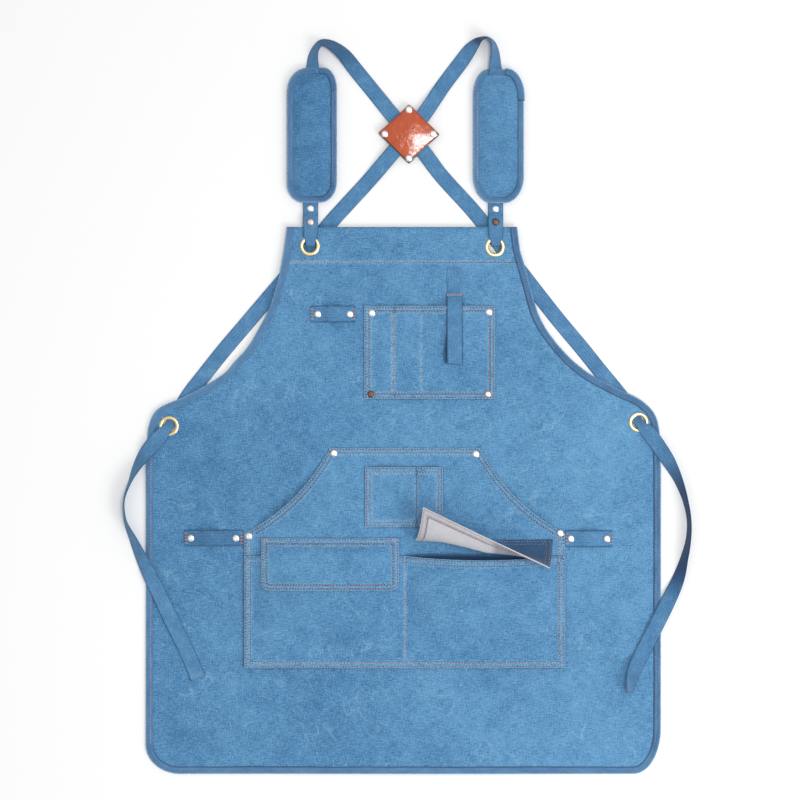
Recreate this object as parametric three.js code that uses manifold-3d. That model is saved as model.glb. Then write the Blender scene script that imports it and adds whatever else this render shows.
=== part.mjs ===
// A canvas work apron with crossed back straps, laid out flat with its front up.
// Millimetres, +Z up, +Y towards the bib. The apron lies on the plane z = 0.
import * as THREE from 'three';
import { mergeVertices } from 'three/addons/utils/BufferGeometryUtils.js';
import Module from 'manifold-3d';

const wasm = await Module();
wasm.setup();

const { clamp, degToRad, lerp, smoothstep } = THREE.MathUtils;

// Cloth thicknesses and the gap that pieces keep
const CANVAS = 1.2;
const BINDING = 1.0;
const WEBBING = 1.2;
const FLAP = 1.6;
const LEATHER = 1.8;
const GAP = 0.3;

// Widths of the tapes
const STRAP_WIDTH = 20;
const BINDING_WIDTH = 9.5;
const PAD_BINDING_WIDTH = 8.5;

// How high the panel's underside lies: over its binding, over the straps at the waist, over the bib's stack
const LIE_SKIRT = 1.3;
const LIE_WAIST = 1.5;
const LIE_BIB = 2.3;
const WAIST_RAMP = { from: -200, to: -50 };
const BIB_RAMP = { from: 60, to: 195 };
const SWELL = { height: 2.0, wave: 380, phase: 0.9, half: 344 };

// The apron's outline from the bib's top to the bottom corners
const OUTLINE = [
  { y: 236.0, left: -154.7, right: 152.0 },
  { y: 205.3, left: -158.7, right: 156.0 },
  { y: 174.7, left: -164.0, right: 165.0 },
  { y: 136.0, left: -175.3, right: 175.2 },
  { y: 118.7, left: -182.0, right: 180.8 },
  { y: 101.3, left: -191.7, right: 189.7 },
  { y: 82.7, left: -202.0, right: 203.2 },
  { y: 69.3, left: -212.0, right: 215.1 },
  { y: 57.3, left: -224.0, right: 226.7 },
  { y: 42.7, left: -235.3, right: 245.1 },
  { y: 34.7, left: -247.1, right: 258.0 },
  { y: 27.3, left: -258.9, right: 272.7 },
  { y: 18.7, left: -274.7, right: 289.3 },
  { y: 8.0, left: -294.7, right: 314.3 },
  { y: -0.7, left: -318.4, right: 325.3 },
  { y: -8.0, left: -329.6, right: 332.4 },
  { y: -18.7, left: -335.7, right: 338.7 },
  { y: -34.7, left: -340.5, right: 342.1 },
  { y: -88.0, left: -342.7, right: 344.0 },
];
const BOTTOM = { y: -490.7, left: -343.3, right: 344.0, radius: 35 };
const ARMHOLE_END = -34.7;
const CELL = 58;
const PANEL_COLUMNS = 10;
const HEM_DEPTH = 46.7;
const HEM_THICKNESS = 1.0;

const EYELET = { outer: 13.5, barrel: 9.5, bore: 8.5, flange: 0.6, dome: 1.3, sides: 12 };
const EYELETS = [
  { name: 'eyelet_top_left', x: -124, y: 210.7, hem: HEM_THICKNESS },
  { name: 'eyelet_top_right', x: 122.7, y: 209.3, hem: HEM_THICKNESS },
  { name: 'eyelet_waist_left', x: -312, y: -29.3, hem: 0 },
  { name: 'eyelet_waist_right', x: 314.5, y: -24.5, hem: 0 },
];

const RIVET = { cap: 4.85, dome: 1.9, shoulder: 3.5, shoulderRise: 1.2, post: 1.6, back: 4.0, sides: 7 };
const RIVET_BACK_RIM = 0.6;
const RIVET_HOLE = { radius: 2.1, sides: 6 };

const PAD = { width: 68, length: 182.7, corner: 25, edge: 2.0, under: 5.2, cornerSteps: 4 };
const PAD_CROWN = { rise: 4.3, inset: 18, share: 0.85 };
const PADS = [
  { name: 'left', x: -120.7, y: 359.3 },
  { name: 'right', x: 127.3, y: 357.3 },
];

const PATCH = { x: 8, y: 360, side: 57, rivetOffset: 22.8, round: 3 };

const CHEST = { left: -52, right: 122.7, top: 130.7, bottom: 6.7, margin: 16 };
const CHEST_SLOTS = [
  { from: -36, to: -13.3, puff: 6.5 },
  { from: -13.3, to: 24, puff: 7 },
  { from: 24, to: 106.7, puff: 9 },
];
const CHEST_COLUMN = 14;
const CHEST_ROW = 25;
const CHEST_STRAP = { left: 58.7, right: 78.7, top: 181.3, bottom: 53.3, sewnTo: 150 };

const HAND = { centre: 2.3, half: 214, top: -58.7, corner: -172.7, bottom: -352, topHalf: 100, puff: 12 };
const HAND_SEAM = { centre: 4, side: 14 };
const HAND_SHARES = { sewn: 0.935, step: 0.134 };
const HAND_MOUTH_BEND = { half: 138, y: -132 };
const HAND_MOUTH_SHARES = [0, 0.14, 0.3, 0.48, 0.66, 0.84, 0.93, 1];
const HAND_FILL = { from: 0.04, full: 0.36, fade: 0.6, flat: 0.97 };
const POUCH = { top: -202.7, left: { puff: 7 }, right: { puff: 12 } };
const POUCH_FILL = { fade: 0.1, flat: 0.95 };
const POUCH_ROW = 26;
const TOOL_PATCH = { left: -50.7, right: 53.3, top: -84, bottom: -164 };
const TOOL_PATCH_SLOTS = [
  { from: -44, to: 17.3, puff: 7 },
  { from: 17.3, to: 46.5, puff: 6.5 },
];
// Shares of a slot's height where it starts to open and is fully open, and how round its swelling is
const SLOT_FILL = { from: 0.08, full: 0.5 };
const ROUNDNESS = 0.8;
const FLAP_LEFT = { left: -189.3, right: -5.3, top: -178.7, bottom: -248, corner: 10 };
const FLAP_CLIMB = { from: 17, to: 2 };
const FLAP_RIGHT = { left: 16, right: 200, hinge: -181.3, columns: 8, rows: 6 };
const FLAP_RIGHT_SECTIONS = [
  { tipX: 26.7, tipY: -136, rise: 42, belly: 14 },
  { tipX: 110, tipY: -176, rise: 46, belly: 17 },
  { tipX: 193.3, tipY: -216, rise: 52, belly: 5 },
];

const LOOP_ARCH = { reach: 0.7, share: 0.86, clear: 0.5, step: 9 };
const TOOL_LOOPS = [
  { name: 'chest_tool_loop', left: -122.7, right: -64, y: 120, arch: 7.5, rivets: [-113.3, -70.7] },
  { name: 'side_loop_left', left: -290.7, right: -213.3, y: -178.7, arch: 8, rivets: [-282.7, -222.7] },
  { name: 'side_loop_right', left: 217.3, right: 278.7, y: -179.5, arch: 8, rivets: [224, 272] },
];

const CHEST_RIVETS = [
  { place: 'top_left', x: -41.3, y: 121.3 },
  { place: 'top_right', x: 114.7, y: 122.7 },
  { place: 'bottom_left', x: -42.7, y: 13.3 },
  { place: 'bottom_right', x: 113.3, y: 13.3 },
];
const HAND_RIVETS = [
  { place: 'top_left', x: -92, y: -65.3 },
  { place: 'top_right', x: 97.3, y: -66.7 },
  { place: 'low_left', x: -205.3, y: -176 },
  { place: 'low_right', x: 209.6, y: -172, lift: 1 },
];

// The origin is the middle of the whole outline, ties included
const ORIGIN = { x: 4.76, y: -0.45 };

// A height over everything, and a small step inside an edge
const ABOVE_ALL = 100;
const LIP = 0.1;

const canvasBlue = { color: 0x5d91bb, roughness: 0.9, metalness: 0 };
const webbingBlue = { color: 0x5a8cb5, roughness: 0.9, metalness: 0 };
const bindingBlue = { color: 0x587fb0, roughness: 0.85, metalness: 0 };
const leatherBrown = { color: 0xc36142, roughness: 0.35, metalness: 0 };
const brass = { color: 0xd9b868, roughness: 0.25, metalness: 1 };
const steel = { color: 0xd8d8d6, roughness: 0.25, metalness: 1 };

const apron = new THREE.Group();

function addPiece(name, geometry, look) {
  const piece = new THREE.Mesh(geometry, new THREE.MeshStandardMaterial(look));
  piece.name = name;
  apron.add(piece);
}

// Closed meshes and solids

function signedVolume(points, faces) {
  const cross = new THREE.Vector3();
  let volume = 0;
  for (let k = 0; k < faces.length; k += 3) {
    cross.crossVectors(points[faces[k + 1]], points[faces[k + 2]]);
    volume += points[faces[k]].dot(cross) / 6;
  }
  return volume;
}

function closedMesh(points, faces) {
  if (signedVolume(points, faces) < 0) faces.reverse();
  const geometry = new THREE.BufferGeometry().setFromPoints(points);
  geometry.setIndex(faces);
  return geometry;
}

function toSolid(geometry) {
  const bare = geometry.clone();
  bare.deleteAttribute('normal');
  bare.deleteAttribute('uv');
  const merged = mergeVertices(bare);
  const vertProperties = new Float32Array(merged.attributes.position.array);
  const triVerts = new Uint32Array(merged.index.array);
  return new wasm.Manifold(new wasm.Mesh({ numProp: 3, vertProperties, triVerts }));
}

function fromSolid(solid) {
  const mesh = solid.getMesh();
  const geometry = new THREE.BufferGeometry();
  geometry.setAttribute('position', new THREE.BufferAttribute(mesh.vertProperties, 3));
  geometry.setIndex(new THREE.BufferAttribute(mesh.triVerts, 1));
  return geometry;
}

function drill(geometry, holes) {
  let solid = toSolid(geometry);
  for (const hole of holes) {
    const bit = new THREE.CylinderGeometry(hole.radius, hole.radius, 2 * ABOVE_ALL, hole.sides);
    bit.rotateX(Math.PI / 2);
    bit.translate(hole.x, hole.y, 0);
    solid = solid.subtract(toSolid(bit));
  }
  return fromSolid(solid);
}

// A wall between two grids of points of the same size, closed round its four edges
function wallBetween(upper, lower) {
  const rows = upper.length;
  const columns = upper[0].length;
  const points = [...upper.flat(), ...lower.flat()];
  const top = (i, j) => i * columns + j;
  const under = (i, j) => rows * columns + top(i, j);
  const faces = [];
  const quad = (a, b, c, d) => faces.push(a, b, c, a, c, d);
  for (let i = 0; i + 1 < rows; i++) {
    for (let j = 0; j + 1 < columns; j++) {
      quad(top(i, j), top(i + 1, j), top(i + 1, j + 1), top(i, j + 1));
      quad(under(i, j), under(i, j + 1), under(i + 1, j + 1), under(i + 1, j));
    }
    quad(top(i, 0), under(i, 0), under(i + 1, 0), top(i + 1, 0));
    quad(top(i + 1, columns - 1), under(i + 1, columns - 1), under(i, columns - 1), top(i, columns - 1));
  }
  for (let j = 0; j + 1 < columns; j++) {
    quad(top(0, j + 1), under(0, j + 1), under(0, j), top(0, j));
    quad(top(rows - 1, j), under(rows - 1, j), under(rows - 1, j + 1), top(rows - 1, j + 1));
  }
  return closedMesh(points, faces);
}

// Cloth over a grid of [x, y] places, with its underside at the given height
function drapedSheet(grid, underside, thickness = CANVAS) {
  const place = ([x, y], lift) => new THREE.Vector3(x, y, underside(x, y) + lift);
  const at = (lift) => grid.map((row) => row.map((spot) => place(spot, lift)));
  return wallBetween(at(thickness), at(0));
}

// A section swept through stations, as a closed ring or with flat ends
function sweep(stations, section, ring) {
  const size = section.length;
  const faces = [];
  const last = ring ? stations.length : stations.length - 1;
  for (let i = 0; i < last; i++) {
    const a = i * size;
    const b = ((i + 1) % stations.length) * size;
    for (let k = 0; k < size; k++) {
      const next = (k + 1) % size;
      faces.push(a + k, b + k, b + next, a + k, b + next, a + next);
    }
  }
  if (!ring) {
    const contour = section.map(([u, w]) => new THREE.Vector2(u, w));
    const turnedBack = THREE.ShapeUtils.isClockWise(contour);
    const end = (stations.length - 1) * size;
    for (const [p, q, r] of THREE.ShapeUtils.triangulateShape(contour, [])) {
      const [s, t] = turnedBack ? [r, q] : [q, r];
      faces.push(p, s, t, end + p, end + t, end + s);
    }
  }
  return closedMesh(stations.flat(), faces);
}

// Heights of the lying cloth

function swell(x, y) {
  const across = Math.max(0, 1 - (x / SWELL.half) ** 2);
  const along = 1 - smoothstep(y, BIB_RAMP.from, BIB_RAMP.to);
  const wave = 0.5 + 0.5 * Math.sin(((0.6 * x + 0.8 * y) * 2 * Math.PI) / SWELL.wave + SWELL.phase);
  return SWELL.height * across * along * wave;
}

function panelUnder(x, y) {
  const waist = LIE_WAIST * smoothstep(y, WAIST_RAMP.from, WAIST_RAMP.to);
  const bib = LIE_BIB * smoothstep(y, BIB_RAMP.from, BIB_RAMP.to);
  return LIE_SKIRT + waist + bib + swell(x, y);
}

const panelTop = (x, y) => panelUnder(x, y) + CANVAS;

function slotPuff(slots, x) {
  const slot = slots.find(({ from, to }) => x > from && x < to);
  if (!slot) return 0;
  return slot.puff * Math.sin((Math.PI * (x - slot.from)) / (slot.to - slot.from)) ** ROUNDNESS;
}

function chestPuff(x, y) {
  const up = clamp((y - CHEST.bottom) / (CHEST.top - CHEST.bottom), 0, 1);
  return slotPuff(CHEST_SLOTS, x) * smoothstep(up, SLOT_FILL.from, SLOT_FILL.full);
}

function lobes(x) {
  const reach = HAND.half - HAND_SEAM.centre - HAND_SEAM.side;
  const out = clamp((Math.abs(x - HAND.centre) - HAND_SEAM.centre) / reach, 0, 1);
  return Math.sin(Math.PI * out) ** ROUNDNESS;
}

function handPuff(x, y) {
  const down = (HAND.top - y) / (HAND.top - HAND.bottom);
  const open = smoothstep(down, HAND_FILL.from, HAND_FILL.full);
  return HAND.puff * lobes(x) * open * (1 - smoothstep(down, HAND_FILL.fade, HAND_FILL.flat));
}

function pouchPuff(x, y) {
  const down = clamp((POUCH.top - y) / (POUCH.top - HAND.bottom), 0, 1);
  const puff = x < HAND.centre ? POUCH.left.puff : POUCH.right.puff;
  return puff * lobes(x) * (1 - smoothstep(down, POUCH_FILL.fade, POUCH_FILL.flat));
}

function toolPatchPuff(x, y) {
  const up = clamp((y - TOOL_PATCH.bottom) / (TOOL_PATCH.top - TOOL_PATCH.bottom), 0, 1);
  return slotPuff(TOOL_PATCH_SLOTS, x) * smoothstep(up, SLOT_FILL.from, SLOT_FILL.full);
}

const chestUnder = (x, y) => panelTop(x, y) + GAP + chestPuff(x, y);
const handUnder = (x, y) => panelTop(x, y) + GAP + handPuff(x, y);
const handTop = (x, y) => handUnder(x, y) + CANVAS;
const pouchUnder = (x, y) => handTop(x, y) + GAP + pouchPuff(x, y);

// Height of a made sheet's upper face, or the given height where no face lies under the place
function upperFace(geometry, otherwise) {
  const sheet = new THREE.Mesh(geometry);
  const ray = new THREE.Raycaster();
  const down = new THREE.Vector3(0, 0, -1);
  return (x, y) => {
    ray.set(new THREE.Vector3(x, y, ABOVE_ALL), down);
    const [hit] = ray.intersectObject(sheet);
    return hit ? hit.point.z : otherwise(x, y);
  };
}

// Grids of places

function spread(from, to, step) {
  const count = Math.max(1, Math.ceil(Math.abs(to - from) / step));
  return Array.from({ length: count }, (_, k) => from + ((to - from) * k) / count);
}

function through(stops, step) {
  const places = stops.slice(1).flatMap((stop, k) => spread(stops[k], stop, step));
  return [...places, stops.at(-1)];
}

const gridOf = (xs, ys) => ys.map((y) => xs.map((x) => [x, y]));

function rowsBetween(lefts, rights, columns) {
  return lefts.map(([xl, yl], i) => {
    const [xr, yr] = rights[i];
    const shares = Array.from({ length: columns + 1 }, (_, j) => j / columns);
    return shares.map((share) => [lerp(xl, xr, share), lerp(yl, yr, share)]);
  });
}

// Inward normals of a run of points, for a run that keeps the cloth on its left
function inwardNormals(run, ring = false) {
  const count = run.length;
  return run.map((_, i) => {
    const before = ring ? run[(i + count - 1) % count] : run[Math.max(0, i - 1)];
    const after = ring ? run[(i + 1) % count] : run[Math.min(count - 1, i + 1)];
    const dx = after[0] - before[0];
    const dy = after[1] - before[1];
    const length = Math.hypot(dx, dy);
    return [-dy / length, dx / length];
  });
}

const inset = (run, normals, by) => run.map(([x, y], i) => [x + normals[i][0] * by, y + normals[i][1] * by]);

// The panel's side down to the bottom corner, and round that corner
function sideRun(side) {
  const run = [];
  const sign = side === 'left' ? 1 : -1;
  const cornerTop = { y: BOTTOM.y + BOTTOM.radius, left: BOTTOM.left, right: BOTTOM.right };
  const rows = [...OUTLINE, cornerTop];
  rows.slice(1).forEach((row, k) => {
    for (const y of spread(rows[k].y, row.y, CELL)) {
      const share = (y - rows[k].y) / (row.y - rows[k].y);
      run.push([lerp(rows[k][side], row[side], share), y]);
    }
  });
  for (const turn of [0, 22.5, 45, 67.5, 90]) {
    const angle = degToRad(turn);
    const x = BOTTOM[side] + sign * BOTTOM.radius * (1 - Math.cos(angle));
    run.push([x, cornerTop.y - BOTTOM.radius * Math.sin(angle)]);
  }
  return run;
}

const leftRun = sideRun('left');
const rightRun = sideRun('right');
const bottomRun = spread(leftRun.at(-1)[0], rightRun.at(-1)[0], CELL).slice(1).map((x) => [x, BOTTOM.y]);
const edgeRun = [...leftRun, ...bottomRun, ...rightRun.toReversed()];
const edgeNormals = inwardNormals(edgeRun);

// Rivets: a domed cap, a post through the layers and a flat back

const rivets = [];

function addRivet(name, x, y, seat, back) {
  rivets.push({ name, x, y, seat, back });
}

const rivetHoles = () => rivets.map(({ x, y }) => ({ x, y, ...RIVET_HOLE }));

function rivetShape(seat, back) {
  const profile = [
    [0, back - RIVET_BACK_RIM],
    [RIVET.back, back - RIVET_BACK_RIM],
    [RIVET.post, back],
    [RIVET.post, seat],
    [RIVET.cap, seat],
    [RIVET.shoulder, seat + RIVET.shoulderRise],
    [0, seat + RIVET.dome],
  ];
  return lathed(profile, RIVET.sides);
}

function lathed(profile, sides) {
  const geometry = new THREE.LatheGeometry(profile.map(([r, z]) => new THREE.Vector2(r, z)), sides);
  geometry.rotateX(Math.PI / 2);
  return fromSolid(toSolid(geometry));
}

// Straps and other ribbons: rows give the middle line, the height of the lower edge, the twist and the width

function ribbon(rows, step, thickness = WEBBING) {
  const line = rows.map(({ x, y, rise }) => new THREE.Vector3(x, y, rise));
  const curve = new THREE.CatmullRomCurve3(line, false, 'centripetal');
  const stations = [];
  rows.slice(1).forEach((next, k) => {
    const count = Math.max(1, Math.round(line[k].distanceTo(line[k + 1]) / step));
    const end = k + 2 === rows.length ? count : count - 1;
    for (let i = 0; i <= end; i++) {
      const share = i / count;
      stations.push(stationOf(rows[k], next, share, curve, (k + share) / (rows.length - 1), thickness));
    }
  });
  const section = [[-1, -1], [1, -1], [1, 1], [-1, 1]];
  const corners = stations.map(({ middle, across, normal, width }) => section.map(([u, w]) => middle.clone()
    .addScaledVector(across, (u * width) / 2)
    .addScaledVector(normal, (w * thickness) / 2)));
  return sweep(corners, section, false);
}

function stationOf(row, next, share, curve, t, thickness) {
  const tangent = curve.getTangent(t);
  const level = new THREE.Vector3(0, 0, 1).cross(tangent);
  if (row.level) level.set(...row.level);
  level.normalize();
  const upright = tangent.clone().cross(level);
  const twist = degToRad(lerp(row.twist ?? 0, next.twist ?? 0, share));
  const across = level.clone().multiplyScalar(Math.cos(twist)).addScaledVector(upright, Math.sin(twist));
  const width = lerp(row.width ?? STRAP_WIDTH, next.width ?? STRAP_WIDTH, share);
  const middle = curve.getPoint(t);
  middle.z = clamp(middle.z, Math.min(row.rise, next.rise), Math.max(row.rise, next.rise));
  middle.z += (width / 2) * Math.abs(Math.sin(twist)) + (thickness / 2) * Math.cos(twist);
  return { middle, across, normal: tangent.clone().cross(across), width };
}

// Panel, hem and binding

function panelGrid() {
  const normals = inset(edgeRun, edgeNormals, BINDING + GAP);
  const lefts = normals.slice(0, leftRun.length);
  const rights = normals.slice(-rightRun.length).toReversed();
  lefts[0][1] = OUTLINE[0].y;
  rights[0][1] = OUTLINE[0].y;
  return rowsBetween(lefts, rights, PANEL_COLUMNS);
}

function makePanel() {
  const reach = BINDING_WIDTH + 2 * GAP;
  const hemRows = through([OUTLINE[0].y, OUTLINE[0].y - HEM_DEPTH], CELL / 2);
  const hemXs = through([OUTLINE[0].left + reach, OUTLINE[0].right - reach], CELL);
  const hemUnder = (x, y) => panelUnder(x, y) - HEM_THICKNESS;
  const hem = drapedSheet(gridOf(hemXs, hemRows), hemUnder, HEM_THICKNESS + CANVAS / 2);
  const cloth = toSolid(drapedSheet(panelGrid(), panelUnder)).add(toSolid(hem));
  const bores = EYELETS.map(({ x, y }) => ({ x, y, radius: EYELET.barrel + GAP, sides: EYELET.sides }));
  addPiece('apron_panel', drill(fromSolid(cloth), [...bores, ...rivetHoles()]), canvasBlue);
}

// The folded tape's section: how far in from the edge, and how high over the underside of the cloth in it
function foldedTape(width, cloth) {
  const low = -GAP - BINDING;
  const high = cloth + GAP + BINDING;
  return [
    [width, low], [0, low], [0, high], [width, high],
    [width, cloth + GAP], [BINDING, cloth + GAP], [BINDING, -GAP], [width, -GAP],
  ];
}

function bindEdge(run, normals, section, underside, ring) {
  const stations = run.map(([x, y], i) => section.map(([u, w]) => {
    const px = x + normals[i][0] * u;
    const py = y + normals[i][1] * u;
    return new THREE.Vector3(px, py, underside(px, py) + w);
  }));
  return sweep(stations, section, ring);
}

// Three tapes: one round each armhole, and one down the sides and along the bottom
function makeBinding() {
  const section = foldedTape(BINDING_WIDTH, CANVAS);
  const first = leftRun.findIndex(([, y]) => y <= ARMHOLE_END);
  const last = edgeRun.length - 1 - rightRun.findIndex(([, y]) => y <= ARMHOLE_END);
  const addTape = (name, from, to, lowered = 0) => {
    const run = edgeRun.slice(from, to + 1).map(([x, y]) => [x, y]);
    run[0][1] -= lowered;
    run.at(-1)[1] -= lowered;
    addPiece(name, bindEdge(run, edgeNormals.slice(from, to + 1), section, panelUnder, false), bindingBlue);
  };
  addTape('arm_binding_left', 0, first);
  addTape('skirt_binding', first, last, GAP);
  addTape('arm_binding_right', last, edgeRun.length - 1);
}

function makeEyelets() {
  for (const { name, x, y, hem } of EYELETS) {
    const under = panelUnder(x, y) - hem - GAP;
    const over = panelTop(x, y) + GAP;
    const middle = (EYELET.bore + EYELET.outer) / 2;
    const profile = [
      [EYELET.bore, under - EYELET.flange],
      [EYELET.outer - 1, under - EYELET.flange],
      [EYELET.outer - 1, under],
      [EYELET.barrel, under],
      [EYELET.barrel, over],
      [EYELET.outer, over],
      [middle, over + EYELET.dome],
      [EYELET.bore, over + EYELET.dome * 0.5],
      [EYELET.bore, under - EYELET.flange],
    ];
    const ring = lathed(profile, EYELET.sides);
    ring.translate(x, y, 0);
    addPiece(name, ring, brass);
  }
}

// Shoulder pads with their bound edges, and the loops that hang the bib on them

function padRun() {
  const { width, length, corner, cornerSteps } = PAD;
  const run = [];
  for (const [sx, sy, turn] of [[1, 1, 0], [-1, 1, 90], [-1, -1, 180], [1, -1, 270]]) {
    for (let k = 0; k <= cornerSteps; k++) {
      const angle = degToRad(turn + (90 * k) / cornerSteps);
      const x = sx * (width / 2 - corner) + corner * Math.cos(angle);
      run.push([x, sy * (length / 2 - corner) + corner * Math.sin(angle)]);
    }
  }
  return run;
}

function makePad({ name, x, y }) {
  const run = padRun().map(([px, py]) => [px + x, py + y]);
  const normals = inwardNormals(run, true);
  const rings = [
    { by: BINDING + GAP, full: 0 },
    { by: PAD_BINDING_WIDTH + GAP, full: 0 },
    { by: PAD_CROWN.inset, full: PAD_CROWN.share },
  ];
  const level = (full, upper) => (upper
    ? PAD.under + PAD.edge + full * PAD_CROWN.rise
    : PAD.under * (1 - full));
  const points = [];
  for (const upper of [true, false]) {
    points.push(new THREE.Vector3(x, y, level(1, upper)));
    for (const { by, full } of rings) {
      const ring = inset(run, normals, by);
      points.push(...ring.map(([px, py]) => new THREE.Vector3(px, py, level(full, upper))));
    }
  }
  addPiece(`shoulder_pad_${name}`, closedMesh(points, padFaces(run.length, rings.length)), canvasBlue);
  const section = foldedTape(PAD_BINDING_WIDTH, PAD.edge);
  addPiece(`pad_binding_${name}`, bindEdge(run, normals, section, () => PAD.under, true), bindingBlue);
}

// Faces of a crowned pad: a middle point and rings above, the same below, and the rim between them
function padFaces(count, ringCount) {
  const faces = [];
  const lower = 1 + count * ringCount;
  const at = (base, ring, k) => base + 1 + ring * count + (k % count);
  for (let k = 0; k < count; k++) {
    faces.push(0, at(0, ringCount - 1, k), at(0, ringCount - 1, k + 1));
    faces.push(lower, at(lower, ringCount - 1, k + 1), at(lower, ringCount - 1, k));
    for (let ring = 0; ring + 1 < ringCount; ring++) {
      const [a, b] = [at(0, ring, k), at(0, ring, k + 1)];
      const [c, d] = [at(0, ring + 1, k + 1), at(0, ring + 1, k)];
      faces.push(a, b, c, a, c, d);
      const [e, f] = [at(lower, ring, k), at(lower, ring, k + 1)];
      const [g, h] = [at(lower, ring + 1, k + 1), at(lower, ring + 1, k)];
      faces.push(e, g, f, e, h, g);
    }
    const [p, q] = [at(0, 0, k), at(0, 0, k + 1)];
    const [r, s] = [at(lower, 0, k + 1), at(lower, 0, k)];
    faces.push(p, s, r, p, r, q);
  }
  return faces;
}

// A bib loop starts under its pad, runs over the bib's edge, down through the eyelet and back underneath
const BIB_LOOPS = [
  { name: 'left', x: -123.2, upperY: 261, lowerY: 242.7 },
  { name: 'right', x: 123.6, upperY: 260.4, lowerY: 242.7 },
];
const BIB_LOOP_LEVELS = { padFront: 2.4, padBack: 0.9, bibFront: 6.9, bibBack: 1.6 };
const BIB_LOOP_PATH = [
  { y: 274, rise: BIB_LOOP_LEVELS.padFront },
  { y: 255.5, rise: BIB_LOOP_LEVELS.padFront },
  { y: 249, rise: 6.2 },
  { y: 237, rise: 6.8 },
  { y: 225, rise: 8.3, width: 19 },
  { y: 216.5, rise: 8.2, width: 12 },
  { y: 212.5, rise: 6.6, width: 10 },
  { y: 210.5, rise: 4.6, width: 10 },
  { y: 212, rise: 2.3, width: 10 },
  { y: 216, rise: BIB_LOOP_LEVELS.bibBack, width: 12 },
  { y: 224, rise: BIB_LOOP_LEVELS.bibBack, width: 19 },
  { y: 249, rise: BIB_LOOP_LEVELS.bibBack },
  { y: 254, rise: BIB_LOOP_LEVELS.padBack },
  { y: 273, rise: BIB_LOOP_LEVELS.padBack },
];

function makeBibLoops() {
  for (const { name, x } of BIB_LOOPS) {
    const rows = BIB_LOOP_PATH.map((row) => ({ x, level: [1, 0, 0], ...row }));
    addPiece(`bib_loop_${name}`, drill(ribbon(rows, 12), rivetHoles()), webbingBlue);
  }
}

// The long straps, from pad to tie end. rise is the height of the strap's lower edge over the floor,
// or over the panel where onPanel says so
const PATCH_BACK = RIVET_BACK_RIM + GAP;
const LOWER_AT_PATCH = PATCH_BACK + LEATHER + GAP;
const UPPER_AT_PATCH = LOWER_AT_PATCH + WEBBING + GAP;

const STRAP_LEFT_PAD = [
  { x: -122.7, y: 442.7, rise: 2.4 },
  { x: -122.7, y: 453, rise: 2.2 },
  { x: -121, y: 468, rise: 0, twist: -48 },
  { x: -117.3, y: 478.7, rise: 0, twist: -74 },
  { x: -110, y: 485, rise: 0, twist: -80 },
  { x: -100, y: 481.3, rise: 0, twist: -66 },
  { x: -80, y: 466.7, rise: 0, twist: -30 },
  { x: -62.7, y: 445.3, rise: 0, twist: -5 },
  { x: -36.7, y: 413.3, rise: 0.3 },
  { x: -13.1, y: 384.1, rise: LOWER_AT_PATCH },
  { x: 8, y: 360, rise: LOWER_AT_PATCH },
  { x: 28.9, y: 334.2, rise: LOWER_AT_PATCH },
  { x: 50, y: 306, rise: 0 },
  { x: 97.3, y: 253.3, rise: 0 },
  { x: 152, y: 182.7, rise: 0 },
  { x: 207.3, y: 112, rise: 0 },
  { x: 240.7, y: 72, rise: 0 },
  { x: 262, y: 45.3, rise: 0 },
  { x: 289.3, y: 12, rise: 0 },
  { x: 303, y: -7, rise: 0 },
  { x: 309.7, y: -18.1, rise: 0, width: 14 },
  { x: 311.5, y: -20.5, rise: 0.5, width: 11 },
  { x: 314.5, y: -24.5, rise: 3.1, width: 11 },
  { x: 317.6, y: -28.4, rise: 5.7, width: 11 },
  { x: 320.2, y: -31.4, rise: 6.8, width: 15 },
  { x: 328, y: -39, rise: 6.4, twist: -2 },
  { x: 343, y: -60, rise: 5.6, twist: -8 },
  { x: 357, y: -82, rise: 1.5, twist: -30 },
  { x: 367, y: -102, rise: 0, twist: -56 },
  { x: 376, y: -128, rise: 0, twist: -72 },
  { x: 381, y: -155, rise: 0, twist: -80 },
  { x: 380, y: -181.3, rise: 0, twist: -78 },
  { x: 374, y: -208, rise: 0, twist: -58 },
  { x: 367, y: -232, rise: 0.4, twist: -36 },
  { x: 352.7, y: -264, rise: 3.4, twist: -14 },
  { x: 332, y: -306, rise: 2.4, onPanel: true },
  { x: 318, y: -334, rise: 1.3, onPanel: true },
  { x: 307, y: -358, rise: 0.6, twist: -26, onPanel: true },
  { x: 301, y: -384, rise: 0.6, twist: -66, onPanel: true },
];

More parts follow.
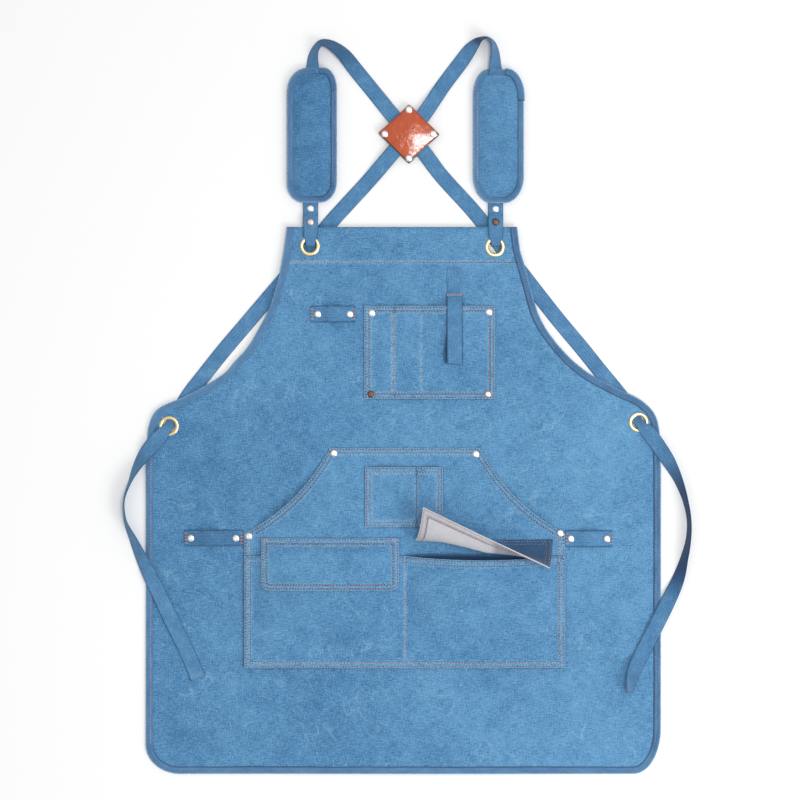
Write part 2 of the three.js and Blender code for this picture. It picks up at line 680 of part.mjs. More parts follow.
const STRAP_RIGHT_PAD = [
  { x: 124, y: 440, rise: 2.4 },
  { x: 124, y: 450.5, rise: 2.2 },
  { x: 122.5, y: 460, rise: 0, twist: 28 },
  { x: 119, y: 473, rise: 0, twist: 58 },
  { x: 113.3, y: 484, rise: 0, twist: 76 },
  { x: 105.3, y: 487.5, rise: 0, twist: 80 },
  { x: 93.3, y: 477.3, rise: 0, twist: 36 },
  { x: 77.3, y: 456, rise: 0, twist: 6 },
  { x: 53.3, y: 424, rise: 0.3 },
  { x: 28.5, y: 386.7, rise: UPPER_AT_PATCH },
  { x: 8, y: 360, rise: UPPER_AT_PATCH },
  { x: -13.2, y: 335.4, rise: UPPER_AT_PATCH },
  { x: -47.3, y: 296, rise: 0 },
  { x: -76.7, y: 264, rise: 0 },
  { x: -96, y: 242.7, rise: 0 },
  { x: -150.7, y: 176, rise: 0 },
  { x: -204.7, y: 112, rise: 0 },
  { x: -238.7, y: 72, rise: 0 },
  { x: -260, y: 45.3, rise: 0 },
  { x: -286.7, y: 10.7, rise: 0 },
  { x: -300, y: -11.6, rise: 0 },
  { x: -307.7, y: -22.6, rise: 0, width: 14 },
  { x: -309.2, y: -25.2, rise: 0.5, width: 11 },
  { x: -312, y: -29.3, rise: 3.1, width: 11 },
  { x: -315.2, y: -33.2, rise: 5.7, width: 11 },
  { x: -317.8, y: -36.3, rise: 6.8, width: 15 },
  { x: -325, y: -44.5, rise: 6.4, twist: 2 },
  { x: -340, y: -62, rise: 5.6, twist: 10 },
  { x: -352, y: -79, rise: 1.2, twist: 36 },
  { x: -363, y: -102, rise: 0, twist: 66 },
  { x: -371.5, y: -128, rise: 0, twist: 80 },
  { x: -370, y: -154.7, rise: 0, twist: 78 },
  { x: -359, y: -181.3, rise: 0, twist: 56 },
  { x: -347, y: -208, rise: 1.2, twist: 34 },
  { x: -332, y: -238.7, rise: 4.6, twist: 10 },
  { x: -307.3, y: -291.3, rise: 0.8, onPanel: true },
  { x: -288.3, y: -330, rise: 0.6, onPanel: true },
  { x: -273, y: -366, rise: 0.6, onPanel: true },
];

const settled = (rows) => rows.map((row) => (row.onPanel
  ? { ...row, rise: row.rise + panelTop(row.x, row.y) }
  : row));

function makeStraps() {
  addPiece('strap_left_pad', ribbon(settled(STRAP_LEFT_PAD), 18), webbingBlue);
  addPiece('strap_right_pad', ribbon(settled(STRAP_RIGHT_PAD), 18), webbingBlue);
}

// Leather squares over and under the crossing

const PATCH_FRONT = UPPER_AT_PATCH + WEBBING + GAP;

function addPatchRivets() {
  const reach = PATCH.rivetOffset * Math.SQRT2;
  const corners = [['top', 0, 1], ['right', 1, 0], ['bottom', 0, -1], ['left', -1, 0]];
  for (const [place, dx, dy] of corners) {
    const seat = PATCH_FRONT + LEATHER + GAP;
    addRivet(`patch_rivet_${place}`, PATCH.x + dx * reach, PATCH.y + dy * reach, seat, PATCH_BACK - GAP);
  }
}

function leatherSquare(z) {
  const half = PATCH.side / 2;
  const { round } = PATCH;
  const shape = new THREE.Shape();
  shape.moveTo(half, round - half);
  shape.lineTo(half, half - round);
  shape.quadraticCurveTo(half, half, half - round, half);
  shape.lineTo(round - half, half);
  shape.quadraticCurveTo(-half, half, -half, half - round);
  shape.lineTo(-half, round - half);
  shape.quadraticCurveTo(-half, -half, round - half, -half);
  shape.lineTo(half - round, -half);
  shape.quadraticCurveTo(half, -half, half, round - half);
  const square = new THREE.ExtrudeGeometry(shape, { depth: LEATHER, bevelEnabled: false, curveSegments: 2 });
  square.rotateZ(Math.PI / 4);
  square.translate(PATCH.x, PATCH.y, z);
  return drill(square, rivetHoles());
}

function makePatch() {
  addPiece('cross_patch_back', leatherSquare(PATCH_BACK), leatherBrown);
  addPiece('cross_patch_front', leatherSquare(PATCH_FRONT), leatherBrown);
}

// Pockets, flaps and straps on the front

function makeChestPocket() {
  const seams = CHEST_SLOTS.map(({ from }) => from);
  const columns = through([CHEST.left, ...seams, CHEST.right - CHEST.margin, CHEST.right], CHEST_COLUMN);
  const rows = through([CHEST.top, CHEST.bottom], CHEST_ROW);
  const pocket = drapedSheet(gridOf(columns, rows), chestUnder);
  addPiece('chest_pocket', drill(pocket, rivetHoles()), canvasBlue);
  const face = upperFace(pocket, (x, y) => chestUnder(x, y) + CANVAS);
  const { left, right, top, bottom, sewnTo } = CHEST_STRAP;
  const under = (x, y) => {
    const inside = Math.min(y, CHEST.top - LIP);
    const rise = face(x, inside) - panelTop(x, inside);
    return panelTop(x, y) + GAP + rise * (1 - smoothstep(y, CHEST.top + FLAP_CLIMB.to, sewnTo));
  };
  const xs = [left, ...columns.filter((x) => x > left && x < right), right];
  const ramp = through([sewnTo, CHEST.top + FLAP_CLIMB.to], 6);
  const hanging = [...rows.filter((y) => y > bottom), bottom];
  addPiece('chest_strap', drapedSheet(gridOf(xs, [top, ...ramp, ...hanging]), under), webbingBlue);
}

// Half the width of the hand pocket at a share of the way down its slanted mouth
function mouthAt(share) {
  const a = { half: HAND.topHalf, y: HAND.top };
  const b = { half: HAND.half, y: HAND.corner };
  const mix = (p, q, r) => (1 - share) ** 2 * p + 2 * share * (1 - share) * q + share ** 2 * r;
  return { half: mix(a.half, HAND_MOUTH_BEND.half, b.half), y: mix(a.y, HAND_MOUTH_BEND.y, b.y) };
}

const handColumns = through([-1, -HAND_SHARES.sewn, 0, HAND_SHARES.sewn, 1], HAND_SHARES.step);
const pouchRows = through([POUCH.top, HAND.bottom], POUCH_ROW);

function makeHandPocket() {
  const rows = HAND_MOUTH_SHARES.map(mouthAt);
  for (const y of pouchRows) rows.push({ half: HAND.half, y });
  const grid = rows.map(({ half, y }) => handColumns.map((share) => [HAND.centre + half * share, y]));
  const pocket = drapedSheet(grid, handUnder);
  addPiece('hand_pocket', drill(pocket, rivetHoles()), canvasBlue);
  return upperFace(pocket, handTop);
}

// Two pouches that meet at the middle seam
function makeLowerPocket() {
  const xs = handColumns.map((share) => HAND.centre + HAND.half * share);
  const lefts = [...xs.filter((x) => x < HAND.centre), HAND.centre - GAP / 2];
  const rights = [HAND.centre + GAP / 2, ...xs.filter((x) => x > HAND.centre)];
  const left = drapedSheet(gridOf(lefts, pouchRows), pouchUnder);
  addPiece('lower_pocket_left', left, canvasBlue);
  addPiece('lower_pocket_right', drapedSheet(gridOf(rights, pouchRows), pouchUnder), canvasBlue);
  return upperFace(left, (x, y) => pouchUnder(x, y) + CANVAS);
}

function makeToolPatch(handFace) {
  const under = (x, y) => handFace(x, y) + GAP + toolPatchPuff(x, y);
  const [wide, narrow] = TOOL_PATCH_SLOTS;
  const stops = [TOOL_PATCH.left, wide.from, narrow.from, narrow.to, TOOL_PATCH.right];
  const grid = gridOf(through(stops, 11), through([TOOL_PATCH.top, TOOL_PATCH.bottom], 16));
  addPiece('tool_patch_pocket', drapedSheet(grid, under), canvasBlue);
}

function makeFlaps(handFace, pouchFace) {
  const { left, right, top, bottom, corner } = FLAP_LEFT;
  const mouth = POUCH.top - LIP;
  const climb = { from: POUCH.top + FLAP_CLIMB.from, to: POUCH.top + FLAP_CLIMB.to };
  const under = (x, y) => {
    if (y < mouth) return pouchFace(x, y) + GAP;
    const rise = pouchFace(x, mouth) - handFace(x, mouth);
    return handFace(x, y) + GAP + rise * (1 - smoothstep(y, climb.to, climb.from));
  };
  const straight = [top, ...through([climb.from, climb.to], 6), mouth, pouchRows[1], bottom + corner];
  const rows = straight.map((y) => ({ y, pulled: 0 }));
  for (const angle of [30, 60, 90].map(degToRad)) {
    rows.push({ y: bottom + corner * (1 - Math.sin(angle)), pulled: corner * (1 - Math.cos(angle)) });
  }
  const seams = handColumns.map((share) => HAND.centre + HAND.half * share);
  const inner = seams.filter((x) => x > left + 1.2 * corner && x < right - 1.2 * corner);
  const grid = rows.map(({ y, pulled }) => [left + pulled, ...inner, right - pulled].map((x) => [x, y]));
  addPiece('flap_left', drapedSheet(grid, under, FLAP), canvasBlue);
  addPiece('flap_right', raisedFlap(handFace), canvasBlue);
}

// The right flap stands open: it leans back at its left end and forward at its right end
function raisedFlap(handFace) {
  const { left, right, hinge, columns, rows } = FLAP_RIGHT;
  const middle = [];
  for (let i = 0; i <= rows; i++) {
    const out = i / rows;
    middle.push(Array.from({ length: columns + 1 }, (_, j) => {
      const { tipX, tipY, rise, belly } = flapSection(j / columns);
      const x = lerp(left, right, j / columns);
      const foot = new THREE.Vector3(x, hinge, handFace(x, hinge) + 3 * GAP + FLAP / 2);
      const tip = new THREE.Vector3(tipX, tipY, foot.z + rise);
      const forward = new THREE.Vector3(0, foot.z - tip.z, tip.y - foot.y).normalize();
      return foot.lerp(tip, out).addScaledVector(forward, belly * Math.sin(Math.PI * out));
    }));
  }
  return thickened(middle, FLAP);
}

function flapSection(along) {
  const spans = FLAP_RIGHT_SECTIONS.length - 1;
  const k = Math.min(Math.floor(along * spans), spans - 1);
  const share = along * spans - k;
  const [a, b] = [FLAP_RIGHT_SECTIONS[k], FLAP_RIGHT_SECTIONS[k + 1]];
  return Object.fromEntries(Object.keys(a).map((key) => [key, lerp(a[key], b[key], share)]));
}

// A wall of even thickness round a middle surface
function thickened(middle, thickness) {
  const normalAt = (i, j) => {
    const down = middle[Math.min(i + 1, middle.length - 1)][j].clone().sub(middle[Math.max(i - 1, 0)][j]);
    const last = middle[0].length - 1;
    const across = middle[i][Math.min(j + 1, last)].clone().sub(middle[i][Math.max(j - 1, 0)]);
    return across.cross(down).normalize();
  };
  const moved = (p, i, j, by) => p.clone().addScaledVector(normalAt(i, j), by);
  const side = (by) => middle.map((row, i) => row.map((p, j) => moved(p, i, j, by)));
  return wallBetween(side(thickness / 2), side(-thickness / 2));
}

// Tool loops: sewn flat under a rivet at each end, arched between

const loopUnder = (x, y) => panelTop(x, y) + 2 * GAP;

function makeToolLoops() {
  for (const { name, left, right, y, arch, rivets: [first, second] } of TOOL_LOOPS) {
    const flat = RIVET.cap + LOOP_ARCH.clear;
    const middle = (first + second) / 2;
    const shoulder = (LOOP_ARCH.reach * (second - first)) / 4;
    const places = [
      { x: left, over: 0 },
      { x: first + flat, over: 0 },
      { x: middle - shoulder, over: arch * LOOP_ARCH.share },
      { x: middle, over: arch },
      { x: middle + shoulder, over: arch * LOOP_ARCH.share },
      { x: second - flat, over: 0 },
      { x: right, over: 0 },
    ];
    const width = STRAP_WIDTH + 1;
    const rows = places.map(({ x, over }) => ({ x, y, rise: loopUnder(x, y) + over, width }));
    addPiece(name, drill(ribbon(rows, LOOP_ARCH.step), rivetHoles()), webbingBlue);
  }
}

function addFrontRivets() {
  const onCloth = (name, { x, y, lift = 0 }, underside, layer) => {
    addRivet(name, x, y, underside(x, y) + layer + GAP + lift, panelUnder(x, y) - GAP);
  };
  for (const rivet of CHEST_RIVETS) onCloth(`chest_rivet_${rivet.place}`, rivet, chestUnder, CANVAS);
  for (const rivet of HAND_RIVETS) onCloth(`hand_rivet_${rivet.place}`, rivet, handUnder, CANVAS);
  for (const { name, y, rivets: [first, second] } of TOOL_LOOPS) {
    onCloth(`${name}_rivet_left`, { x: first, y }, loopUnder, WEBBING);
    onCloth(`${name}_rivet_right`, { x: second, y }, loopUnder, WEBBING);
  }
  for (const { name, x, upperY, lowerY } of BIB_LOOPS) {
    const { padFront, padBack, bibFront, bibBack } = BIB_LOOP_LEVELS;
    addRivet(`bib_rivet_${name}_upper`, x, upperY, padFront + WEBBING + GAP, padBack - GAP);
    addRivet(`bib_rivet_${name}_lower`, x, lowerY, bibFront + WEBBING + GAP, bibBack - GAP);
  }
}

addFrontRivets();
addPatchRivets();
makePanel();
makeBinding();
makeEyelets();
for (const pad of PADS) makePad(pad);
makeBibLoops();
makeStraps();
makePatch();
makeChestPocket();
const handFace = makeHandPocket();
const pouchFace = makeLowerPocket();
makeToolPatch(handFace);
makeFlaps(handFace, pouchFace);
makeToolLoops();
for (const { name, x, y, seat, back } of rivets) {
  const shape = rivetShape(seat, back);
  shape.translate(x, y, 0);
  addPiece(name, shape, steel);
}

apron.position.set(-ORIGIN.x, -ORIGIN.y, 0);

export default apron;
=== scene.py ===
"""A canvas work apron with crossed back straps, lying flat with its front up.

Laid out as an add-on and run as a script. Each piece, or group of like pieces, has an operator, and main()
calls them in order. Plan sizes are in millimetres on the apron's own plan, where x runs across the bib and
y runs up towards the shoulder pads. Heights are in millimetres over the floor.
"""
import math

import bmesh
import bpy
import numpy as np
from bpy.props import FloatProperty, FloatVectorProperty, PointerProperty
from mathutils import Matrix, Vector


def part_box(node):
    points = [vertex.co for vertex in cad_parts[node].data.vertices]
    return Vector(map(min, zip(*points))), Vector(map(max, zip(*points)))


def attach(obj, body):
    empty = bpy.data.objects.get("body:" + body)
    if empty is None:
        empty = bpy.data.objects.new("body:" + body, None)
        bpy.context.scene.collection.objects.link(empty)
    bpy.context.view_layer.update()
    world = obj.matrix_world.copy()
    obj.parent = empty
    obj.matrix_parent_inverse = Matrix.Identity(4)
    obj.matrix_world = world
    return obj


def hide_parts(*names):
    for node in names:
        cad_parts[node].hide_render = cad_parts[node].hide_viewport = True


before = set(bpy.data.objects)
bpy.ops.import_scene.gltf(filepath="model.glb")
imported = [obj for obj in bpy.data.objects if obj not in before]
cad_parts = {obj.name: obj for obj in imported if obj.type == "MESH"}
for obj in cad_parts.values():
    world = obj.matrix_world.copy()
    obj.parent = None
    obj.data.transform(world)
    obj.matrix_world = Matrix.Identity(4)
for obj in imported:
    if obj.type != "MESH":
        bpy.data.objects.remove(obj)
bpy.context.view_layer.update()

bl_info = {
    "name": "Canvas Work Apron",
    "version": (1, 0, 0),
    "blender": (4, 5, 0),
    "location": "3D View > Sidebar > Apron",
    "description": "Builds a canvas work apron that lies on a pale floor",
    "category": "Add Mesh",
}

MM = 0.001
# A distance in the cloth attributes that means nowhere near
FAR = 60.0

# Cloth thicknesses and the gap between layers
CANVAS = 1.2
BINDING = 1.0
WEBBING = 1.2
FLAP = 1.6
LEATHER = 1.8
GAP = 0.3

STRAP_WIDTH = 20.0
BINDING_WIDTH = 9.5
PAD_BINDING_WIDTH = 8.0
# Groove of a tape's stitches, in from its inner edge
TAPE_GROOVE = 2.3
HEM_DEPTH = 46.7

# Bib and sides of the panel: y, left edge, right edge
OUTLINE = np.array([
    (236.0, -154.7, 152.0), (205.3, -158.7, 156.0), (174.7, -164.0, 165.0), (136.0, -175.3, 175.2),
    (118.7, -182.0, 180.8), (101.3, -191.7, 189.7), (82.7, -202.0, 203.2), (69.3, -212.0, 215.1),
    (57.3, -224.0, 226.7), (42.7, -235.3, 245.1), (34.7, -247.1, 258.0), (27.3, -258.9, 272.7),
    (18.7, -274.7, 289.3), (8.0, -294.7, 314.3), (-0.7, -318.4, 325.3), (-8.0, -329.6, 332.4),
    (-18.7, -335.7, 338.7), (-34.7, -340.5, 342.1), (-88.0, -342.7, 344.0), (-455.7, -343.3, 344.0),
])
# Columns of the outline
LEFT, RIGHT = 1, 2
PANEL_TOP = OUTLINE[0, 0]
HEM_LINE = PANEL_TOP - HEM_DEPTH
BOTTOM = -493.3
# Rounded bottom corners of the left and right side: how far in, and how far up
CORNERS = {LEFT: (45.0, 40.0), RIGHT: (36.0, 61.0)}
# The sides are read each millimetre between these two y, and their corners are rounded off over this reach
SIDE_SPAN = (-470.0, 250.0)
SIDE_ROUNDING = 7
# About how long a side is, down to its bottom corner's end
SIDE_LENGTH = 800.0
PANEL_CELL = 4.2

EYELETS = ("eyelet_top_left", "eyelet_top_right", "eyelet_waist_left", "eyelet_waist_right")
PAD = {"edge": 2.0, "under": 5.2, "crown": 4.3}
# Corners of a pad go anticlockwise from its upper right: how wide and how tall each is rounded.
# For its left and its right side: how strong the painted shade along the tape's inner edge is, the tape's
# tone and the dye of its thread
PADS = {
    "left": {"x": -121.3, "y": 358.3, "wide": 33.2, "long": 89.9, "tone": -0.2,
             "corners": ((17.0, 28.0), (27.0, 33.0), (21.0, 25.0), (22.0, 28.0)),
             "inner_shade": (0.2, 1.0), "tape": (0.2, 0.06), "dye": (0.5, 0.45)},
    "right": {"x": 127.3, "y": 356.9, "wide": 33.7, "long": 89.2, "tone": -0.02,
              "corners": ((23.0, 36.0), (20.0, 35.0), (24.0, 37.0), (26.0, 35.0)),
              "inner_shade": (0.3, 0.9), "tape": (0.1, 0.02), "dye": (0.05, 0.7)},
}
# Where the right pad's tape ends over its own start, from the pad's middle
TAPE_END = (9.0, 46.0)
PATCH = {"x": 8.0, "y": 360.0, "side": 57.0, "corner": 1.2}
# How the front leather square is crowned, pulled wider and flatter, and turned
PATCH_CROWN = 2.6
PATCH_PULL = (1.03, 0.97)
PATCH_TURN = -0.028

CHEST = {"left": -52.0, "right": 122.7, "top": 130.7, "bottom": 6.7}
CHEST_SLOTS = ((-36.0, -13.3, 2.6), (-13.3, 24.0, 3.0), (24.0, 106.7, 4.5))
CHEST_DIVIDERS = (-14.8, -11.6, 24.0)
CHEST_STRAP = {"left": 58.7, "right": 78.7, "top": 181.3, "bottom": 53.3, "sewn_to": 150.0}
CHEST_STRAP_TACK = 145.6
HAND = {"centre": 2.3, "half": 214.0, "top": -58.7, "corner": -172.7, "bottom": -352.0, "top_half": 100.0}
HAND_BEND = (138.0, -132.0)
HAND_PUFF = 12.0
POUCH_TOP = -202.7
POUCH_PUFF = {"left": 7.0, "right": 12.0}
POUCH_SAG = 4.5
TOOL_PATCH = {"left": -50.7, "right": 53.3, "top": -84.0, "bottom": -164.0}
TOOL_SLOTS = ((-44.0, 17.3, 4.0), (17.3, 46.5, 3.4))
TOOL_DIVIDERS = (17.6,)
FLAP_LEFT = {"left": -189.3, "right": -5.3, "top": -178.7, "bottom": -248.0, "corner": 10.0}
FLAP_RIGHT = {"left": 16.0, "right": 200.0, "hinge": -181.3, "deep": 72.0}
# Along the raised flap: share, tip x, tip y, rise, belly
FLAP_SECTIONS = np.array([
    (0.0, 26.7, -136.0, 42.0, 14.0), (0.5, 110.0, -176.0, 46.0, 17.0), (1.0, 193.3, -216.0, 52.0, 5.0),
])
# name, left, right, y, arch, painted shade, rivets at x
TOOL_LOOPS = (
    ("chest_tool_loop", -122.7, -64.0, 120.0, 4.6, 0.04, (-113.3, -70.7)),
    ("side_loop_left", -290.7, -213.3, -178.7, 5.0, 0.22, (-282.7, -222.7)),
    ("side_loop_right", 217.3, 278.7, -179.5, 5.0, -0.12, (224.0, 272.0)),
)
LOOP_WIDTH = 21.0
# How far a tool loop lies flat past its rivets
LOOP_FLAT = 5.35
RIVETS = (
    "chest_rivet_top_left", "chest_rivet_top_right", "chest_rivet_bottom_left", "chest_rivet_bottom_right",
    "hand_rivet_top_left", "hand_rivet_top_right", "hand_rivet_low_left", "hand_rivet_low_right",
    "chest_tool_loop_rivet_left", "chest_tool_loop_rivet_right", "side_loop_left_rivet_left",
    "side_loop_left_rivet_right", "side_loop_right_rivet_left", "side_loop_right_rivet_right",
    "bib_rivet_left_upper", "bib_rivet_left_lower", "bib_rivet_right_upper", "bib_rivet_right_lower",
    "patch_rivet_top", "patch_rivet_right", "patch_rivet_bottom", "patch_rivet_left",
)
RIVET_FINISHES = {
    "chest_rivet_bottom_left": "rivet_dark", "bib_rivet_right_lower": "rivet_dark",
    "chest_rivet_bottom_right": "rivet_worn", "bib_rivet_left_lower": "rivet_worn",
}

# Straps, row by row: x, y, height of the lower edge, and where they aren't plain, twist in degrees and width
STRAP_LEFT = (
    (-120.7, 440, 2.4, -16), (-120.5, 450, 1.2, -34), (-120, 462, 0, -48), (-116.5, 473, 0, -60),
    (-109, 481, 0, -62), (-98, 479.3, 0, -50), (-80, 466.7, 0, -26), (-62.7, 445.3, 0, -5),
    (-36.7, 413.3, 0.3), (-13.1, 384.1, 3.0), (8, 360, 3.0), (28.9, 334.2, 3.0), (50, 306, 0),
    (97.3, 253.3, 0), (152, 182.7, 0), (207.3, 112, 0), (240.7, 72, 0), (262, 45.3, 0), (289.3, 12, 0),
    (303, -7, 0), (309.7, -18.1, 0, 0, 15), (311.5, -20.5, 0.5, 0, 13), (314.5, -24.5, 3.1, 0, 13),
    (317.6, -28.4, 5.7, 0, 13), (320.2, -31.4, 6.8, 0, 16), (328, -39, 6.4, 4), (343, -60, 5.9, 18),
    (350.3, -70.8, 5.6, 28), (357, -82, 2.6, 40), (367, -102, 0, 60), (376, -128, 0, 75), (381, -155, 0, 80),
    (380, -181.3, 0, 77), (374, -208, 0, 64), (367, -232, 0.4, 42), (352.7, -264, 4.2, 14),
)
STRAP_LEFT_TIE = (
    (332, -306, 2.4), (318, -334, 1.3), (307, -358, 0.6, -26), (301, -384, 0.6, -66),
)
STRAP_RIGHT = (
    (123.6, 438, 2.4, 18), (123.2, 448, 1.2, 34), (123, 460, 0, 46), (122.4, 472, 0, 60), (119.5, 482, 0, 72),
    (112.5, 488, 0, 82), (103, 486, 0, 72), (93.3, 477.3, 0, 36), (77.3, 456, 0, 6), (53.3, 424, 0.3),
    (28.5, 386.7, 4.5), (8, 360, 4.5), (-13.2, 335.4, 4.5), (-47.3, 296, 0), (-76.7, 264, 0),
    (-96, 242.7, 0), (-150.7, 176, 0),
    (-204.7, 112, 0), (-238.7, 72, 0), (-260, 45.3, 0), (-286.7, 10.7, 0), (-300, -11.6, 0),
    (-307.7, -22.6, 0, 0, 15), (-309.2, -25.2, 0.5, 0, 13), (-312, -29.3, 3.1, 0, 13),
    (-315.2, -33.2, 5.7, 0, 13), (-317.8, -36.3, 6.8, 0, 16), (-325, -44.5, 6.4, 2), (-340, -62, 5.6, 18),
    (-352, -79, 1.2, 48), (-363, -102, 0, 76), (-371.5, -128, 0, 83), (-370, -154.7, 0, 78),
    (-359, -181.3, 0, 56), (-347, -208, 1.2, 34), (-332, -238.7, 4.6, 10),
)
STRAP_RIGHT_TIE = ((-307.3, -291.3, 0.8), (-288.3, -330, 0.6), (-273, -366, 0.6))
# How much of a tie's end is folded back
TIE_HEM = 9.0
BIB_LOOPS = {"left": -123.2, "right": 123.6}
# y, height, width
BIB_LOOP_PATH = (
    (274, 2.4, 20), (255.5, 2.4, 20), (249, 6.2, 20), (237, 6.8, 20), (225, 8.6, 19), (216.5, 8.6, 14),
    (212.5, 6.6, 12), (210.5, 4.6, 12), (212, 2.3, 12), (216, 1.6, 14), (224, 1.6, 19), (249, 1.6, 20),
    (254, 0.9, 20), (273, 0.9, 20),
)

# Rows of stitches, measured in from a sewn edge, and how much higher its folded cloth carries them
ROWS = (2.4, 7.6)
SEWN_RISE = 0.5


def plan_shift():
    """From the apron's plan to the frame, read where the front leather square lies."""
    low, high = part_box("cross_patch_front")
    middle = (low + high) / 2 / MM
    return np.array([middle.x - PATCH["x"], middle.y - PATCH["y"], 0.0])


SHIFT = plan_shift()


def tint(name, description, red, green, blue):
    """A colour setting from its red, green and blue as they show on a screen, 0 to 255."""
    linear = [((c / 255 + 0.055) / 1.055) ** 2.4 if c > 10 else c / 255 / 12.92 for c in (red, green, blue)]
    return FloatVectorProperty(name=name, description=description, subtype="COLOR", default=linear,
                               min=0, max=1)


class ApronColours(bpy.types.PropertyGroup):
    """Colours of the apron's cloth, leather and metal"""
    canvas_deep: tint("Deep canvas", "Canvas where its dye is kept", 50, 103, 150)
    canvas_pale: tint("Pale canvas", "Canvas where it is washed out", 109, 166, 207)
    canvas_worn: tint("Worn canvas", "Canvas on creases and rubbed edges", 160, 199, 223)
    # Painted shade on the canvas: the colour of its seam grooves and of the shade along what lies on it
    canvas_shade: tint("Canvas in seams", "Canvas in the grooves beside a seam", 34, 62, 98)
    reverse_deep: tint("Deep reverse", "Back of the canvas in its hollows", 174, 174, 180)
    reverse_pale: tint("Pale reverse", "Back of the canvas", 214, 213, 217)
    # Hem folds on the back of the canvas, also the colour of painted shade there, as on the raised flap's
    # inner side
    reverse_hem_and_shade: tint("Hem on the back", "Folds of the hems on the back of the canvas", 92, 96, 118)
    webbing_deep: tint("Deep webbing", "Webbing between its ribs", 46, 96, 144)
    # Painted shade on webbing, where it stands on edge, lies in a fold or along its edges
    webbing_shade: tint("Shaded webbing", "Webbing on its darker side", 28, 62, 102)
    webbing_pale: tint("Pale webbing", "Webbing on its ribs", 106, 162, 206)
    binding_deep: tint("Deep binding", "Binding tape between its ribs", 46, 88, 132)
    binding_pale: tint("Pale binding", "Binding tape on its ribs", 104, 150, 190)
    thread_tan: tint("Tan thread", "Thread of the sewn seams", 224, 146, 100)
    thread_pale: tint("Pale thread", "Thread where it has faded", 206, 212, 219)
    thread_dark: tint("Dark thread", "Thread of the bound edges", 84, 92, 124)
    leather_deep: tint("Deep leather", "Leather in its grain", 150, 46, 2)
    leather_pale: tint("Pale leather", "Leather on its face", 216, 88, 12)
    # Burnished rim of the leather, also the colour of painted shade on its lower edges
    leather_rim_and_shade: tint("Leather rim", "Burnished edge of the leather", 24, 14, 14)
    brass: tint("Brass", "Eyelets", 238, 217, 164)
    steel: tint("Steel", "Rivets", 238, 237, 235)
    steel_worn: tint("Worn steel", "Rivets that are rubbed through", 200, 188, 182)
    steel_dark: tint("Dark steel", "Rivets that have lost their bright finish", 108, 84, 76)
    floor: tint("Floor", "The pale floor", 249, 249, 249)


class ApronSewing(bpy.types.PropertyGroup):
    """Sizes of the weave and of the stitches"""
    yarn: FloatProperty(name="Yarn pitch", description="From one yarn of the canvas to the next",
                        default=0.00105, min=0.0003, unit="LENGTH")
    rib: FloatProperty(name="Webbing rib", description="From one rib of the webbing to the next",
                       default=0.00135, min=0.0005, unit="LENGTH")
    pitch: FloatProperty(name="Stitch pitch", description="From one stitch to the next",
                         default=0.0038, min=0.002, unit="LENGTH")
    thread: FloatProperty(name="Thread width", description="Width of the sewing thread",
                          default=0.0011, min=0.0003, unit="LENGTH")


class ApronStage(bpy.types.PropertyGroup):
    """Light and camera"""
    key: FloatProperty(name="Key light", description="Power of the large light at the lower right",
                       default=24.0, min=0, unit="POWER")
    front: FloatProperty(name="Front light", description="Power of the light beside the camera",
                         default=30.0, min=0, unit="POWER")
    fill: FloatProperty(name="Fill", description="Strength of the even light from all round",
                        default=0.66, min=0)
    lens: FloatProperty(name="Lens", description="Focal length in millimetres", default=150.0, min=20)
    width: FloatProperty(name="Frame width", description="Width of floor that the picture shows",
                         default=1.0667, min=0.1, unit="LENGTH")


# Materials


class Signal:
    """A node's output that takes part in sums, so that an expression adds its Math nodes."""

    def __init__(self, finish, socket):
        self.finish = finish
        self.socket = socket

    def also(self, out):
        """Another output of the same node."""
        return Signal(self.finish, self.socket.node.outputs[out])

    def math(self, operation, *others):
        return self.finish.node("ShaderNodeMath", {"operation": operation}, dict(enumerate((self, *others))))

    def turned(self, operation, first):
        return self.finish.node("ShaderNodeMath", {"operation": operation}, {0: first, 1: self})

    def __add__(self, other):
        return self.math("ADD", other)

    def __radd__(self, other):
        return self.turned("ADD", other)

    def __sub__(self, other):
        return self.math("SUBTRACT", other)

    def __rsub__(self, other):
        return self.turned("SUBTRACT", other)

    def __mul__(self, other):
        return self.math("MULTIPLY", other)

    def __rmul__(self, other):
        return self.turned("MULTIPLY", other)

    def __abs__(self):
        return self.math("ABSOLUTE")

    def sine(self):
        return self.math("SINE")

    def clip(self):
        return self.finish.node("ShaderNodeClamp", {}, {"Value": self})

    def over(self, low, high):
        """0 below low, 1 above high, and smooth between."""
        return self.finish.node("ShaderNodeMapRange", {"interpolation_type": "SMOOTHSTEP"},
                                {0: self, 1: low, 2: high})


